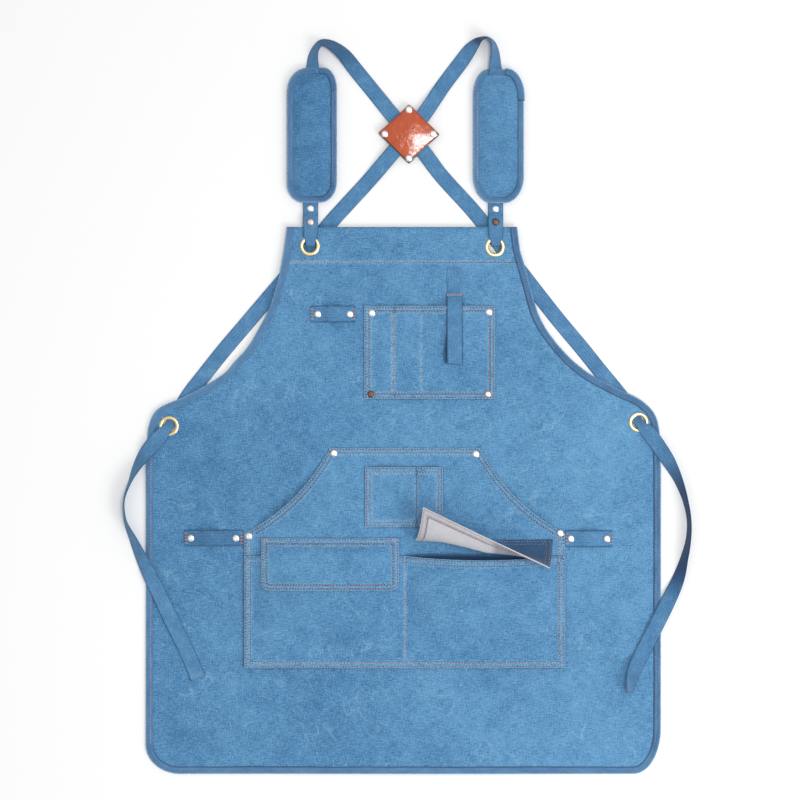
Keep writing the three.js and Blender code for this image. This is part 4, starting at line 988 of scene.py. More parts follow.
def add_binding(name, run, normals, width, cloth, under, nodes, look, ring=False):
    """Tape round a run of edge places, whose look gives its tone and how strong the painted shade along its
    inner edge is.
    """
    section = folded_tape(width, cloth)
    along = arc_of(run)
    waver = 1.0 + 0.035 * np.sin(along / 17.0) * np.sin(along / 41.0 + 1.0)
    points, cloth_at, edge = [], [], []
    for place, normal, reach, stretch in zip(run, normals, along, waver):
        tone, inner_shade = look(*place)
        for u, w in section:
            spot = place + normal * (u * stretch)
            points.append((*spot, under(*spot) + w))
            cloth_at.append((u, reach, abs(u - (width - TAPE_GROOVE))))
            # Painted shade along the tape's inner edge on its front, and at both ends of a tape that is not a
            # ring
            gap = (width - u if w > 0 else FAR) + 2.0 * (1.0 - inner_shade)
            edge.append((u, gap if ring else min(gap, reach, along[-1] - reach), tone))
    points = np.array(points)
    faces = outward(points, sweep_faces(len(run), len(section), ring))
    return add_piece(name, points, faces, ("binding",), "binding", nodes, cloth=cloth_at, edge=edge)


# Stitches

STITCH_RINGS = ((-0.31, 0.08), (0.0, 0.2), (0.31, 0.08))
STITCH_SIDES = 5
# A stitch's length as a share of the pitch, and how deep its ends are pulled in
STITCH_SHARE = 0.58
STITCH_SINK = 0.25


class Thread:
    """Collects stitches along lines, and makes one mesh of them."""

    def __init__(self):
        sewing = bpy.context.scene.apron_sewing
        self.pitch = sewing.pitch / MM
        self.radius = sewing.thread / MM / 2
        self.random = np.random.default_rng(11)
        self.points = []
        self.tones = []

    def row(self, line, ups=None, tone=0.35, pitch=None, dyed=0.0):
        """Stitches end to end along a line of places in space."""
        line = np.asarray(line, dtype=float)
        ups = np.tile((0.0, 0.0, 1.0), (len(line), 1)) if ups is None else np.asarray(ups, dtype=float)
        arc = arc_of(line)
        pitch = pitch or self.pitch
        count = int(arc[-1] / pitch)
        if count < 1:
            return
        pitch = arc[-1] / count
        middles = (np.arange(count) + 0.5 + self.random.normal(0.0, 0.05, count)) * pitch
        length = pitch * STITCH_SHARE
        ahead = spread(line, arc, middles + length / 2) - spread(line, arc, middles - length / 2)
        ahead /= np.linalg.norm(ahead, axis=1, keepdims=True)
        up = spread(ups, arc, middles)
        up /= np.linalg.norm(up, axis=1, keepdims=True)
        side = np.cross(ahead, up)
        ahead = ahead + side * self.random.normal(0.0, 0.05, (count, 1))
        middle = spread(line, arc, middles) + side * self.random.normal(0.0, 0.12, (count, 1))
        middle = middle - up * np.abs(self.random.normal(0.0, 0.16, (count, 1)))
        rings = [middle - ahead * length / 2 - up * STITCH_SINK]
        for share, lift in STITCH_RINGS:
            centre = middle + ahead * (share * length) + up * lift
            for k in range(STITCH_SIDES):
                angle = 2 * math.pi * k / STITCH_SIDES
                offset = side * math.cos(angle) + up * (0.8 * math.sin(angle))
                rings.append(centre + offset * self.radius)
        rings.append(middle + ahead * length / 2 - up * STITCH_SINK)
        self.points.append(np.stack(rings, axis=1).reshape(-1, 3))
        shade = np.clip(tone + self.random.normal(0.0, 0.26, count), 0.0, 1.0)
        kinds = np.stack([shade, np.full(count, dyed), np.zeros(count)], axis=1)
        self.tones.append(np.repeat(kinds, len(rings), axis=0))

    def tack(self, start, end, height):
        """A bar tack: thread laid close between two plan places."""
        start, end = np.array(start), np.array(end)
        step = end - start
        side = np.array((-step[1], step[0])) / np.linalg.norm(step)
        for by in (-0.8, 0.0, 0.8):
            self.on([start + side * by, end + side * by], height, tone=0.0, pitch=1.9)

    def on(self, line, height, **how):
        """Stitches along a plan line, on the cloth whose height is given."""
        line = np.asarray(line, dtype=float)
        arc = arc_of(line)
        x, y = spread(line, arc, np.linspace(0.0, arc[-1], max(2, int(arc[-1] / 1.5)))).T
        self.row(np.stack([x, y, height(x, y)], axis=1), **how)

    def finish(self, name):
        points = np.concatenate(self.points)
        size = 2 + STITCH_SIDES * len(STITCH_RINGS)
        last = size - 1
        tail = last - STITCH_SIDES
        faces = []
        for base in range(0, len(points), size):
            for k in range(STITCH_SIDES):
                after = (k + 1) % STITCH_SIDES
                faces.append((base, base + 1 + after, base + 1 + k))
                for ring in range(len(STITCH_RINGS) - 1):
                    a = base + 1 + ring * STITCH_SIDES
                    b = a + STITCH_SIDES
                    faces.append((a + k, a + after, b + after, b + k))
                faces.append((base + last, base + tail + k, base + tail + after))
        return add_piece(name, points, faces, ("thread",), "binding", tone=np.concatenate(self.tones))


# Hard pieces, modelled by hand

RIVET = {"cap": 4.85, "rim": 0.5, "rise": 1.9, "post": 1.6, "long": 4.0, "back": 4.0, "back_thick": 0.4}
# From the rim of a rivet's cap to its dimple: how far in, and how far up
RIVET_STEPS = ((0.35, 0.5), (0.7, 0.42), (1.0, 0.26), (0.9, 0.1), (0.35, -0.14), (0.5, 0.1), (0.4, 0.16))
EYELET = {"roll": 2.5, "middle": 11.0, "flat": 0.52, "lift": 0.2, "rise": 1.5, "barrel": 9.4, "deep": 3.6,
          "back": 12.5, "wall": 0.7, "hole": 9.7}


def box_of(node):
    """Lowest corner, highest corner and middle of a CAD node."""
    low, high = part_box(node)
    return low, high, (low + high) / 2


def begin(add, **where):
    """A new primitive, as the only thing selected."""
    bpy.ops.object.select_all(action="DESELECT")
    add(**where)
    return bpy.context.object


def pick(obj, wanted):
    """In edit mode, selects the faces that are wanted and no others."""
    bpy.ops.mesh.select_mode(type="FACE")
    bpy.ops.mesh.select_all(action="DESELECT")
    shape = bmesh.from_edit_mesh(obj.data)
    for face in shape.faces:
        face.select_set(wanted(face))
    shape.select_flush_mode()
    bmesh.update_edit_mesh(obj.data)


def apply_modifier(obj, kind, **settings):
    bpy.context.view_layer.objects.active = obj
    modifier = obj.modifiers.new(kind.lower(), kind)
    for setting, value in settings.items():
        setattr(modifier, setting, value)
    bpy.ops.object.modifier_apply(modifier=modifier.name)


def joined(first, *others):
    """Makes others part of the first piece."""
    bpy.ops.object.select_all(action="DESELECT")
    for obj in (first, *others):
        obj.select_set(True)
    bpy.context.view_layer.objects.active = first
    bpy.ops.object.join()


def named(obj, name, finish):
    """Names a modelled piece and gives it its finish."""
    obj.name = name
    obj.data.name = name
    obj.data.materials.clear()
    obj.data.materials.append(FINISHES[finish])
    return obj


def dressed(obj, name, finish):
    """Names a modelled piece, gives it its finish and smooths it."""
    named(obj, name, finish)
    bpy.ops.object.select_all(action="DESELECT")
    obj.select_set(True)
    bpy.context.view_layer.objects.active = obj
    bpy.ops.object.transform_apply(location=True, rotation=True, scale=True)
    bpy.ops.object.shade_smooth_by_angle(angle=math.radians(42))
    return obj


def copied(model, name, finish):
    """A copy of a modelled piece with its own mesh."""
    obj = model.copy()
    obj.data = model.data.copy()
    bpy.context.scene.collection.objects.link(obj)
    return named(obj, name, finish)


def mesh_points(mesh):
    points = np.empty(len(mesh.vertices) * 3, dtype=np.float32)
    mesh.vertices.foreach_get("co", points)
    return points.reshape(-1, 3)


def move_points(obj, change):
    """Rewrites a mesh's points through a function of their array."""
    points = change(mesh_points(obj.data))
    obj.data.vertices.foreach_set("co", points.astype(np.float32).ravel())
    obj.data.update()


def model_rivet():
    """A domed cap with a rolled rim and a dimple, on a post with a flat back."""
    cap, rim, post, long = (RIVET[size] * MM for size in ("cap", "rim", "post", "long"))
    obj = begin(bpy.ops.mesh.primitive_cylinder_add, vertices=20, radius=cap, depth=rim,
                location=(0, 0, rim / 2))
    bpy.ops.object.transform_apply(location=True)
    bpy.ops.object.mode_set(mode="EDIT")
    pick(obj, lambda face: face.normal.z > 0.9)
    for inward_by, rise in RIVET_STEPS:
        bpy.ops.mesh.inset(thickness=inward_by * MM, depth=rise * MM)
    pick(obj, lambda face: face.normal.z < -0.9)
    bpy.ops.mesh.inset(thickness=cap - post)
    flare = 0.2 * MM
    wider = RIVET["back"] / RIVET["post"]
    bpy.ops.mesh.extrude_region_move(TRANSFORM_OT_translate={"value": (0, 0, -long)})
    bpy.ops.mesh.extrude_region_move(TRANSFORM_OT_translate={"value": (0, 0, -flare)})
    bpy.ops.transform.resize(value=(wider, wider, 1.0), center_override=(0, 0, -long - flare))
    bpy.ops.mesh.extrude_region_move(TRANSFORM_OT_translate={"value": (0, 0, -RIVET["back_thick"] * MM)})
    bpy.ops.object.mode_set(mode="OBJECT")
    apply_modifier(obj, "SUBSURF", levels=1, render_levels=1)
    return dressed(obj, "rivet_model", "rivet_steel")


def place_rivet(model, node):
    """A rivet in a CAD rivet's place: its cap on the seat and its post as long as the layers are thick."""
    low, high, middle = box_of(node)
    rise = RIVET["rise"] * MM
    seat = high.z - rise
    obj = copied(model, node + "_cap", RIVET_FINISHES.get(node, "rivet_steel"))
    spin = np.array(Matrix.Rotation(math.radians(hash_of(node) % 360), 3, "Z"))

    def fit(points):
        points = points @ spin.T
        height = points[:, 2].copy()
        points[:, 2] *= np.where(height > 0, rise / height.max(), (low.z - seat) / height.min())
        return points + (middle.x, middle.y, seat)

    move_points(obj, fit)
    return settle(obj, (node,))


def model_eyelet():
    """A rolled brass ring over the cloth, with a barrel and a flat ring behind."""
    roll, reach, lift, radius, deep, wall = (
        EYELET[size] * MM for size in ("roll", "middle", "lift", "barrel", "deep", "wall"))
    ring = begin(bpy.ops.mesh.primitive_circle_add, vertices=16, radius=roll, location=(0, 0, 0))
    bpy.ops.object.mode_set(mode="EDIT")
    bpy.ops.mesh.select_all(action="SELECT")
    bpy.ops.transform.rotate(value=math.pi / 2, orient_axis="X", center_override=(0, 0, 0))
    bpy.ops.transform.resize(value=(1.0, 1.0, EYELET["flat"]), center_override=(0, 0, 0))
    bpy.ops.transform.translate(value=(reach, 0, lift))
    bpy.ops.mesh.spin(steps=56, angle=2 * math.pi, center=(0, 0, 0), axis=(0, 0, 1))
    bpy.ops.mesh.select_all(action="SELECT")
    bpy.ops.mesh.remove_doubles(threshold=1e-6)
    bpy.ops.mesh.normals_make_consistent(inside=False)
    bpy.ops.object.mode_set(mode="OBJECT")
    barrel = begin(bpy.ops.mesh.primitive_cylinder_add, vertices=56, radius=radius, depth=deep,
                   end_fill_type="NOTHING", location=(0, 0, -deep / 2))
    bpy.ops.object.transform_apply(location=True)
    bpy.ops.object.mode_set(mode="EDIT")
    bpy.ops.mesh.select_mode(type="EDGE")
    bpy.ops.mesh.select_all(action="DESELECT")
    shape = bmesh.from_edit_mesh(barrel.data)
    for edge in shape.edges:
        edge.select_set(edge.is_boundary and all(v.co.z < -deep / 2 for v in edge.verts))
    bmesh.update_edit_mesh(barrel.data)
    wider = EYELET["back"] / EYELET["barrel"]
    bpy.ops.mesh.extrude_edges_move(TRANSFORM_OT_translate={"value": (0, 0, -0.3 * MM)})
    bpy.ops.transform.resize(value=(wider, wider, 1.0), center_override=(0, 0, 0))
    bpy.ops.object.mode_set(mode="OBJECT")
    apply_modifier(barrel, "SOLIDIFY", thickness=wall, offset=-1.0)
    joined(ring, barrel)
    return dressed(ring, "eyelet_model", "brass")


def place_eyelet(model, node):
    """An eyelet in a CAD eyelet's place, with its barrel as long as the layers are thick."""
    low, high, middle = box_of(node)
    seat = high.z - EYELET["rise"] * MM
    obj = copied(model, node + "_ring", "brass")

    def fit(points):
        height = points[:, 2].copy()
        points[:, 2] = np.where(height < -1.0 * MM, height * (low.z - seat) / height.min(), height)
        return points + (middle.x, middle.y, seat)

    move_points(obj, fit)
    return settle(obj, (node,))


def model_leather(node, crown, pull=(1.0, 1.0), turn=0.0):
    """A leather square with rounded corners, thinner towards its edges and a little crowned."""
    low, _, middle = box_of(node)
    half, corner = PATCH["side"] / 2 * MM, PATCH["corner"] * MM
    obj = begin(bpy.ops.mesh.primitive_grid_add, x_subdivisions=20, y_subdivisions=20, size=2 * half,
                location=(0, 0, 0))

    def domed(points):
        beyond = np.maximum(np.abs(points[:, :2]) - (half - corner), 0.0)
        length = np.maximum(np.linalg.norm(beyond, axis=1, keepdims=True), corner)
        points[:, :2] -= np.sign(points[:, :2]) * beyond * (1.0 - corner / length)
        share = 1.0 - (points[:, :2] / half) ** 2
        points[:, 2] = crown * MM * share[:, 0] * share[:, 1]
        return points

    move_points(obj, domed)
    apply_modifier(obj, "SOLIDIFY", thickness=LEATHER * MM, offset=-1.0)
    apply_modifier(obj, "SUBSURF", levels=1, render_levels=1)
    rim = half - np.abs(mesh_points(obj.data)[:, :2]).max(axis=1)
    obj.rotation_euler = (0, 0, math.pi / 4 + turn)
    dressed(obj, node + "_leather", "leather")
    place = np.array((middle.x, middle.y, low.z + LEATHER * MM))
    move_points(obj, lambda points: points * (*pull, 1.0) + place)
    # The lower edges are marked for painted shade on the rim
    lower = mesh_points(obj.data)[:, 1] < middle.y
    mark(obj.data, "edge", np.column_stack((rim / MM, lower, lower)))
    return settle(obj, (node,))


# Pieces


def evened(run, cell):
    """A side's places, spread evenly from its top to its lowest place."""
    arc = arc_of(run)
    return spread(run, arc, np.linspace(0.0, arc[-1], round(SIDE_LENGTH / cell)))


def panel_grid(cell):
    """The panel's places: rows from its left edge to its right edge, just inside the binding."""
    inside = BINDING + GAP
    left, right = side_run(LEFT, 2.0), side_run(RIGHT, 2.0)
    left = evened(left + inward(left) * inside, cell)
    right = evened(right - inward(right) * inside, cell)
    left[0, 1] = right[0, 1] = PANEL_TOP
    count = round((OUTLINE[-1, RIGHT] - OUTLINE[-1, LEFT]) / cell)
    shares = np.linspace(0.0, 1.0, count + 1)
    x = left[:, :1] + (right[:, :1] - left[:, :1]) * shares
    y = left[:, 1:] + (right[:, 1:] - left[:, 1:]) * shares
    return x, y


def pierced(panel):
    """Cuts the eyelets' holes through the panel."""
    cutters = []
    for node in EYELETS:
        middle = box_of(node)[2]
        cutters.append(begin(bpy.ops.mesh.primitive_cylinder_add, vertices=36, radius=EYELET["hole"] * MM,
                             depth=0.06, location=(middle.x, middle.y, 0)))
    joined(*cutters)
    apply_modifier(panel, "BOOLEAN", operation="DIFFERENCE", solver="EXACT", object=cutters[0])
    bpy.data.objects.remove(cutters[0])


def lay_contacts():
    """Outlines of what lies on the panel, along which the panel gets painted shade lines."""
    strap = rectangle(CHEST_STRAP["left"], CHEST_STRAP["right"], CHEST_STRAP["sewn_to"] - 4.0, CHEST["top"])
    half = LOOP_WIDTH / 2
    loops = [rectangle(left, right, y + half, y - half) for _, left, right, y, *_ in TOOL_LOOPS]
    return [box_line(CHEST), strap, hand_outline(), *loops]


# The panel's painted shade line along the binding's inner edge runs from this x of the bottom on, and up the
# right side
SHADED_FROM = -300


def mark_panel(panel):
    """Writes the panel's cloth places from where its points lie."""
    points = mesh_points(panel.data) / MM - SHIFT
    x, y = points[:, 0], points[:, 1]
    edge = edge_run(9.0)
    band = edge + inward(edge) * BINDING_WIDTH
    # Painted shade lines on the panel along what lies on it and along the binding's inner edge
    inner_shade = band[np.argmin(np.hypot(band[:, 0] - SHADED_FROM, band[:, 1] - BOTTOM)):]
    contact = np.minimum(distance_to(x, y, lay_contacts()), distance_to(x, y, [inner_shade]) * 1.3)
    # Painted light and shade: the panel is darker towards its left and lighter towards its right
    tone = 0.07 * np.sin(x / 190.0)
    mark(panel.data, "cloth", np.column_stack((x, y, np.abs(y - HEM_LINE))))
    mark(panel.data, "edge", np.column_stack((np.full_like(x, FAR), contact, tone)))


def sew_panel():
    x, y = panel_grid(PANEL_CELL)
    hem = smooth(y, HEM_LINE - 0.5, HEM_LINE + 1.0)
    inside = np.minimum(np.abs(PANEL_TOP - y), FAR)
    panel = add_sheet("apron_panel_cloth", x, y, panel_under(x, y) - hem, panel_top(x, y), ("apron_panel",),
                      inside)
    pierced(panel)
    mark_panel(panel)
    thread = Thread()
    thread.on([(-151.0, HEM_LINE), (150.0, HEM_LINE)], panel_top, tone=0.2)
    thread.finish("stitching_hem")


def edge_look(x, y):
    """Tone of the binding, and how strong the painted shade along its inner edge is: least down the left
    side.
    """
    left = float(smooth(-x, 310.0, 335.0) * smooth(y, -470.0, -440.0))
    arm = float(smooth(y, -30.0, 0.0)) * (x < 0)
    bottom = float(smooth(-y, 455.0, 480.0))
    return -0.1 + 0.13 * left + 0.2 * arm + 0.16 * bottom, 1.0 - max(left, 0.8 * arm)


# Stretches of the bound edge in their order, and the tone and dye of the thread in each
LEFT_ARM, LEFT_SIDE, ALONG_BOTTOM, RIGHT_SIDE, RIGHT_ARM = range(5)
EDGE_THREADS = ((0.6, 0.88), (0.15, 0.1), (0.85, 0.78), (0.35, 0.4), (0.5, 0.75))
# The arms' stretches lie above the first y, and the bottom's below the second
ARM_ENDS, BOTTOM_STARTS = -35.0, -455.0


def sew_binding():
    run = edge_run(3.0)
    normals = inward(run)
    add_binding("edge_binding_tape", run, normals, BINDING_WIDTH, CANVAS, panel_under,
                ("arm_binding_left", "skirt_binding", "arm_binding_right"), edge_look)
    thread = Thread()
    row = run + normals * (BINDING_WIDTH - 2.9)
    left = run[:, 0] < 0
    stretch = np.where(left, LEFT_SIDE, RIGHT_SIDE)
    stretch = np.where(run[:, 1] > ARM_ENDS, np.where(left, LEFT_ARM, RIGHT_ARM), stretch)
    stretch = np.where(run[:, 1] < BOTTOM_STARTS, ALONG_BOTTOM, stretch)
    for k, (tone, dyed) in enumerate(EDGE_THREADS):
        thread.on(row[stretch == k], above(panel_top, GAP + BINDING), tone=tone, pitch=3.4, dyed=dyed)
    thread.finish("stitching_binding")


def pad_run(pad, step):
    """A pad's bound edge, anticlockwise from its right side."""
    run = []
    for quarter, (wide, tall) in enumerate(pad["corners"]):
        sx, sy = ((1, 1), (-1, 1), (-1, -1), (1, -1))[quarter]
        for angle in np.radians(90 * quarter + np.linspace(0.0, 90.0, 13)):
            run.append((sx * (pad["wide"] - wide) + wide * math.cos(angle),
                        sy * (pad["long"] - tall) + tall * math.sin(angle)))
    run = np.array(run + run[:1])
    arc = arc_of(run)
    return spread(run, arc, np.linspace(0.0, arc[-1], round(arc[-1] / step) + 1)[:-1])


def pad_reach(pad, y, upper, lower, inside):
    """How far out one side of a pad's cloth reaches, between its upper and its lower corner."""
    wide, tall = np.where(y[:, None] > 0, pad["corners"][upper], pad["corners"][lower]).T - inside
    beyond = np.clip((np.abs(y) - (pad["long"] - inside - tall)) / tall, 0.0, 1.0)
    return pad["wide"] - inside - wide * (1.0 - np.sqrt(1.0 - beyond ** 2))


def pad_grid(pad, cell, inside):
    """Places of a pad's cloth, row by row, just inside its binding."""
    long = pad["long"] - inside
    ys = stops(long, -long, cell, (0.0, 0.4, 1.2, 2.6, 4.6, 7.2))
    left, right = pad_reach(pad, ys, 1, 2, inside), pad_reach(pad, ys, 0, 3, inside)
    shares = np.linspace(0.0, 1.0, round(2 * pad["wide"] / cell) + 1)
    x = -left[:, None] + (left + right)[:, None] * shares
    return x, np.repeat(ys[:, None], len(shares), axis=1)


# How a pad is filled: values of the cloth simulation, its length in frames, and how far a point may move
FILLING = {"quality": 6, "mass": 0.1, "use_pressure": True, "uniform_pressure_force": 4.0,
           "shrink_min": -0.02, "bending_stiffness": 0.4, "vertex_group_mass": "sewn"}
FILLING_FRAMES = 20
FILLING_REACH = 1.4
FLOOR_CLEARANCE = 0.2
# Round its upper and lower end the thread of a pad's tape is dyed more: how deep, and how much
PAD_END, PAD_END_DYE = 29.0, 0.85


def stuffed(pad):
    """Fills a pad: its cloth is blown out a little between its sewn edges."""
    scene = bpy.context.scene
    start = mesh_points(pad.data)
    bpy.context.view_layer.objects.active = pad
    modifier = pad.modifiers.new("filling", "CLOTH")
    for setting, value in FILLING.items():
        setattr(modifier.settings, setting, value)
    modifier.settings.effector_weights.gravity = 0.0
    modifier.point_cache.frame_start = 1
    modifier.point_cache.frame_end = FILLING_FRAMES
    for step in range(1, FILLING_FRAMES + 1):
        scene.frame_set(step)
    bpy.ops.object.select_all(action="DESELECT")
    pad.select_set(True)
    bpy.ops.object.modifier_apply(modifier=modifier.name)
    scene.frame_set(1)

    def held(points):
        move = points - start
        length = np.maximum(np.linalg.norm(move, axis=1, keepdims=True), 1e-9)
        points = start + move * np.minimum(1.0, FILLING_REACH * MM / length)
        points[:, 2] = np.maximum(points[:, 2], FLOOR_CLEARANCE * MM)
        return points

    move_points(pad, held)


def pad_side(pad, what, x):
    """A value that a pad has on its left and on its right side, and between them."""
    left, right = pad[what]
    return left + (right - left) * smooth(x, -16.0, 16.0)


def pad_tape_under(x, y):
    return np.full_like(x, PAD["under"])


def add_pad_cloth(name, pad, outline):
    """A pad's crowned cloth inside its outline, dented a little and filled."""
    x, y = pad_grid(pad, 3.0, BINDING + GAP)
    inside = distance_to(x, y, [np.concatenate([outline, outline[:1]])])
    full = smooth(inside, 8.0, 22.0) ** 0.8
    dent = 0.5 * np.sin(x / 9.0 + y / 23.0) + 0.5 * np.sin(y / 14.0 - x / 31.0 + len(name))
    top = PAD["under"] + PAD["edge"] + full * (PAD["crown"] - 0.3 + 0.7 * dent)
    under = PAD["under"] * (1.0 - smooth(inside, 8.0, 20.0)) + 0.3
    # Painted shade on the pad's cloth along the tape's inner edge
    contact = np.abs(inside - PAD_BINDING_WIDTH) + 4.0 * (1.0 - pad_side(pad, "inner_shade", x))
    cloth = add_sheet(f"shoulder_pad_{name}_cloth", x + pad["x"], y + pad["y"], under, top,
                      (f"shoulder_pad_{name}",), contact=contact, tone=pad["tone"], finishes=("pad", "pad"))
    group = cloth.vertex_groups.new(name="sewn")
    sewn = np.flatnonzero(np.tile(np.ravel(inside < PAD_BINDING_WIDTH + 1.2), 2))
    group.add(sewn.tolist(), 1.0, "REPLACE")
    stuffed(cloth)
    apply_modifier(cloth, "SUBSURF", levels=1, render_levels=1)


def bind_pad(name, pad, outline, run, normals):
    """Tape round a pad's edge. On the right pad it ends over its own start."""
    def look(x, y):
        across = x - pad["x"]
        return pad["tone"] + float(pad_side(pad, "tape", across)), float(pad_side(pad, "inner_shade", across))

    add_binding(f"pad_binding_{name}_tape", run, normals, PAD_BINDING_WIDTH, PAD["edge"], pad_tape_under,
                (f"pad_binding_{name}",), look, ring=True)
    if name == "right":
        order = np.roll(np.arange(len(run)), len(run) // 2)
        end = order[(outline[order, 0] > TAPE_END[0]) & (outline[order, 1] > TAPE_END[1])]
        wrap = BINDING + 0.2
        add_binding("pad_binding_right_end", run[end] - normals[end] * wrap, normals[end],
                    PAD_BINDING_WIDTH + wrap, PAD["edge"] + 2 * wrap, above(pad_tape_under, -wrap), (), look)


def sew_pad(thread, name):
    pad = PADS[name]
    outline = pad_run(pad, 3.0)
    add_pad_cloth(name, pad, outline)
    run = outline + (pad["x"], pad["y"])
    normals = inward(run, ring=True)
    bind_pad(name, pad, outline, run, normals)
    row = run + normals * (PAD_BINDING_WIDTH - TAPE_GROOVE)
    height = above(pad_tape_under, PAD["edge"] + GAP + BINDING)
    top, bottom = (int(np.argmin(np.abs(outline[:, 0]) - sign * outline[:, 1])) for sign in (1, -1))
    sides = (row[top:bottom + 1], np.concatenate([row[bottom:], row[:top + 1]]))
    for line, dyed in zip(sides, pad["dye"]):
        straight = np.flatnonzero(np.abs(line[:, 1] - pad["y"]) < pad["long"] - PAD_END)
        first, last = straight[0], straight[-1]
        parts = ((line[:first + 1], PAD_END_DYE), (line[first:last + 1], dyed), (line[last:], PAD_END_DYE))
        for part, dye in parts:
            thread.on(part, height, tone=0.35, pitch=3.0, dyed=dye)


def sew_pads():
    thread = Thread()
    for name in PADS:
        sew_pad(thread, name)
    thread.finish("stitching_pads")


def on_panel(rows):
    """Rows of a strap whose heights are over the panel."""
    return tuple((x, y, rise + float(panel_top(np.array(x), np.array(y))), *more)
                 for x, y, rise, *more in rows)


def cross_row(ups, station, reach, thread, tone):
    """A row of stitches across a strap."""
    middle, normal, across = ups[station]
    line = [middle - across * reach, middle + across * reach]
    thread.row(line, [normal, normal], tone=tone)


def left_shade(x, y):
    """Painted shade on the left strap past its loop, and most where its tie stands on edge."""
    loop = 0.42 * smooth(x, -120.0, -106.0) * (1.0 - smooth(x, -84.0, -50.0)) * smooth(y, 415.0, 425.0)
    tie = 0.75 * smooth(-y, 75.0, 125.0) * (1.0 - 0.95 * smooth(-y, 215.0, 262.0))
    return loop + tie


def right_shade(x, y):
    """Painted shade in the fold of the right strap's loop; its tie is lighter towards its end."""
    fold = 0.85 * smooth(y, 472.0, 483.0) * (1.0 - smooth(np.abs(x - 104.0), 4.0, 10.0))
    return fold - 0.12 * smooth(-y, 170.0, 240.0)


def sew_straps():
    add_strap("strap_left_webbing", STRAP_LEFT + on_panel(STRAP_LEFT_TIE), "strap_left_pad", hem=TIE_HEM,
              shade=left_shade)
    add_strap("strap_right_webbing", STRAP_RIGHT + on_panel(STRAP_RIGHT_TIE), "strap_right_pad", hem=TIE_HEM,
              shade=right_shade)


def sew_bib_loops():
    for name, x in BIB_LOOPS.items():
        rows = tuple((x, y, rise, 0.0, width) for y, rise, width in BIB_LOOP_PATH)
        add_strap(f"bib_loop_{name}_webbing", rows, f"bib_loop_{name}", level=(1.0, 0.0, 0.0))


def add_flat_pocket(name, node, x, y, box, under_at, dividers, faint=0.0, contact=FAR, tone=0.0):
    """A flat pocket over a grid of places, with a seam at each of its dividers, which may be fainter."""
    inside = box_inside(x, y, box)
    seam = nearest_row(inside, *(np.abs(x - at) + faint for at in dividers))
    under = under_at(x, y)
    return add_sheet(name, x, y, under, under + CANVAS + hem_rise(inside), (node,), inside, seam,
                     contact, tone)


def sew_flat_pocket(thread, box, under_at, dividers, tones, divider_tone):
    """Stitches of a flat pocket: round from its upper left, row by row, and then down its dividers."""
    for row in ROWS:
        line = box_line(box, row)
        for k, tone in enumerate(tones):
            thread.on(line[k:k + 2], above(under_at, CANVAS + SEWN_RISE), tone=tone)
    for at in dividers:
        line = [(at, box["top"] - ROWS[1]), (at, box["bottom"] + ROWS[1])]
        thread.on(line, above(under_at, CANVAS), tone=divider_tone)


def sew_chest_pocket(thread):
    x, y = box_grid(CHEST, 2.6, 2.6)
    # The pocket is in shade under the strap's free end, and a little to the left of it
    lifted = 4.5 * smooth(100.0 - y, 0.0, 34.0) * (y > CHEST_STRAP["bottom"] + 1.0)
    beside = np.where(x < CHEST_STRAP["right"], CHEST_STRAP["left"] - x - lifted, FAR)
    contact = np.minimum(distance_to(x, y, [box_line(CHEST_STRAP)]), np.where(lifted > 0, beside, FAR))
    pocket = add_flat_pocket("chest_pocket_cloth", "chest_pocket", x, y, CHEST, chest_under, CHEST_DIVIDERS,
                             0.7, contact, 0.03)
    sew_flat_pocket(thread, CHEST, chest_under, CHEST_DIVIDERS, (0.5, 0.5, 0.15, 0.3), 0.25)


def chest_strap_under(x, y):
    """The chest strap is sewn on, climbs over the pocket's edge and hangs free, its left side higher."""
    inside = np.minimum(y, CHEST["top"] - 0.1)
    rise = chest_under(x, inside) + CANVAS + HEM_RISE - panel_top(x, inside)
    climb = 1.0 - smooth(y, CHEST["top"] + 2.0, CHEST_STRAP["sewn_to"])
    tilt = 0.5 + (CHEST_STRAP["right"] - x) / STRAP_WIDTH
    free = 5.0 * tilt * smooth(CHEST["top"] - y, 4.0, 60.0)
    return panel_top(x, y) + GAP + rise * climb + free


def sew_chest_strap(thread):
    x, y = box_grid(CHEST_STRAP, 2.2, 2.6)
    under = chest_strap_under(x, y)
    end = 1.0 - smooth(y - CHEST_STRAP["bottom"], 4.6, 5.4)
    strap = add_sheet("chest_strap_webbing", x, y, under, under + WEBBING + 0.8 * end, ("chest_strap",),
                      box_inside(x, y, CHEST_STRAP), finishes=("webbing", "webbing"), slot="webbing")
    middle = (CHEST_STRAP["left"] + CHEST_STRAP["right"]) / 2
    # Above its tack the strap's edges get no painted shade
    mark(strap.data, "cloth", by_place(x - middle, y, STRAP_WIDTH / 2 + 5.0 * smooth(y, 144.0, 148.0)))
    thread.tack((CHEST_STRAP["left"] - 0.5, CHEST_STRAP_TACK), (CHEST_STRAP["right"] + 0.5, CHEST_STRAP_TACK),
                above(chest_strap_under, WEBBING))


def offset_mouth(by, sign):
    line = mouth_line(sign)
    return line + inward(line) * by * (-sign)


def hand_grid():
    """Places of the hand pocket: rows down its slanted mouths, then down its straight sides."""
    # Rows and columns lie close together along the edges
    shares = np.concatenate([(0.0, 0.0024, 0.0062, 0.013), np.linspace(0.028, 1.0, 54)])
    half, ys = mouth_at(shares)
    low = stops(HAND["corner"], HAND["bottom"], 3.4)[4:]
    half = np.concatenate([half, np.full(len(low), HAND["half"])])
    ys = np.concatenate([ys, low])
    columns = stops(-1.0, 1.0, 0.0155, (0.0, 0.0016, 0.0042, 0.009))
    return HAND["centre"] + half[:, None] * columns, np.repeat(ys[:, None], len(columns), axis=1)


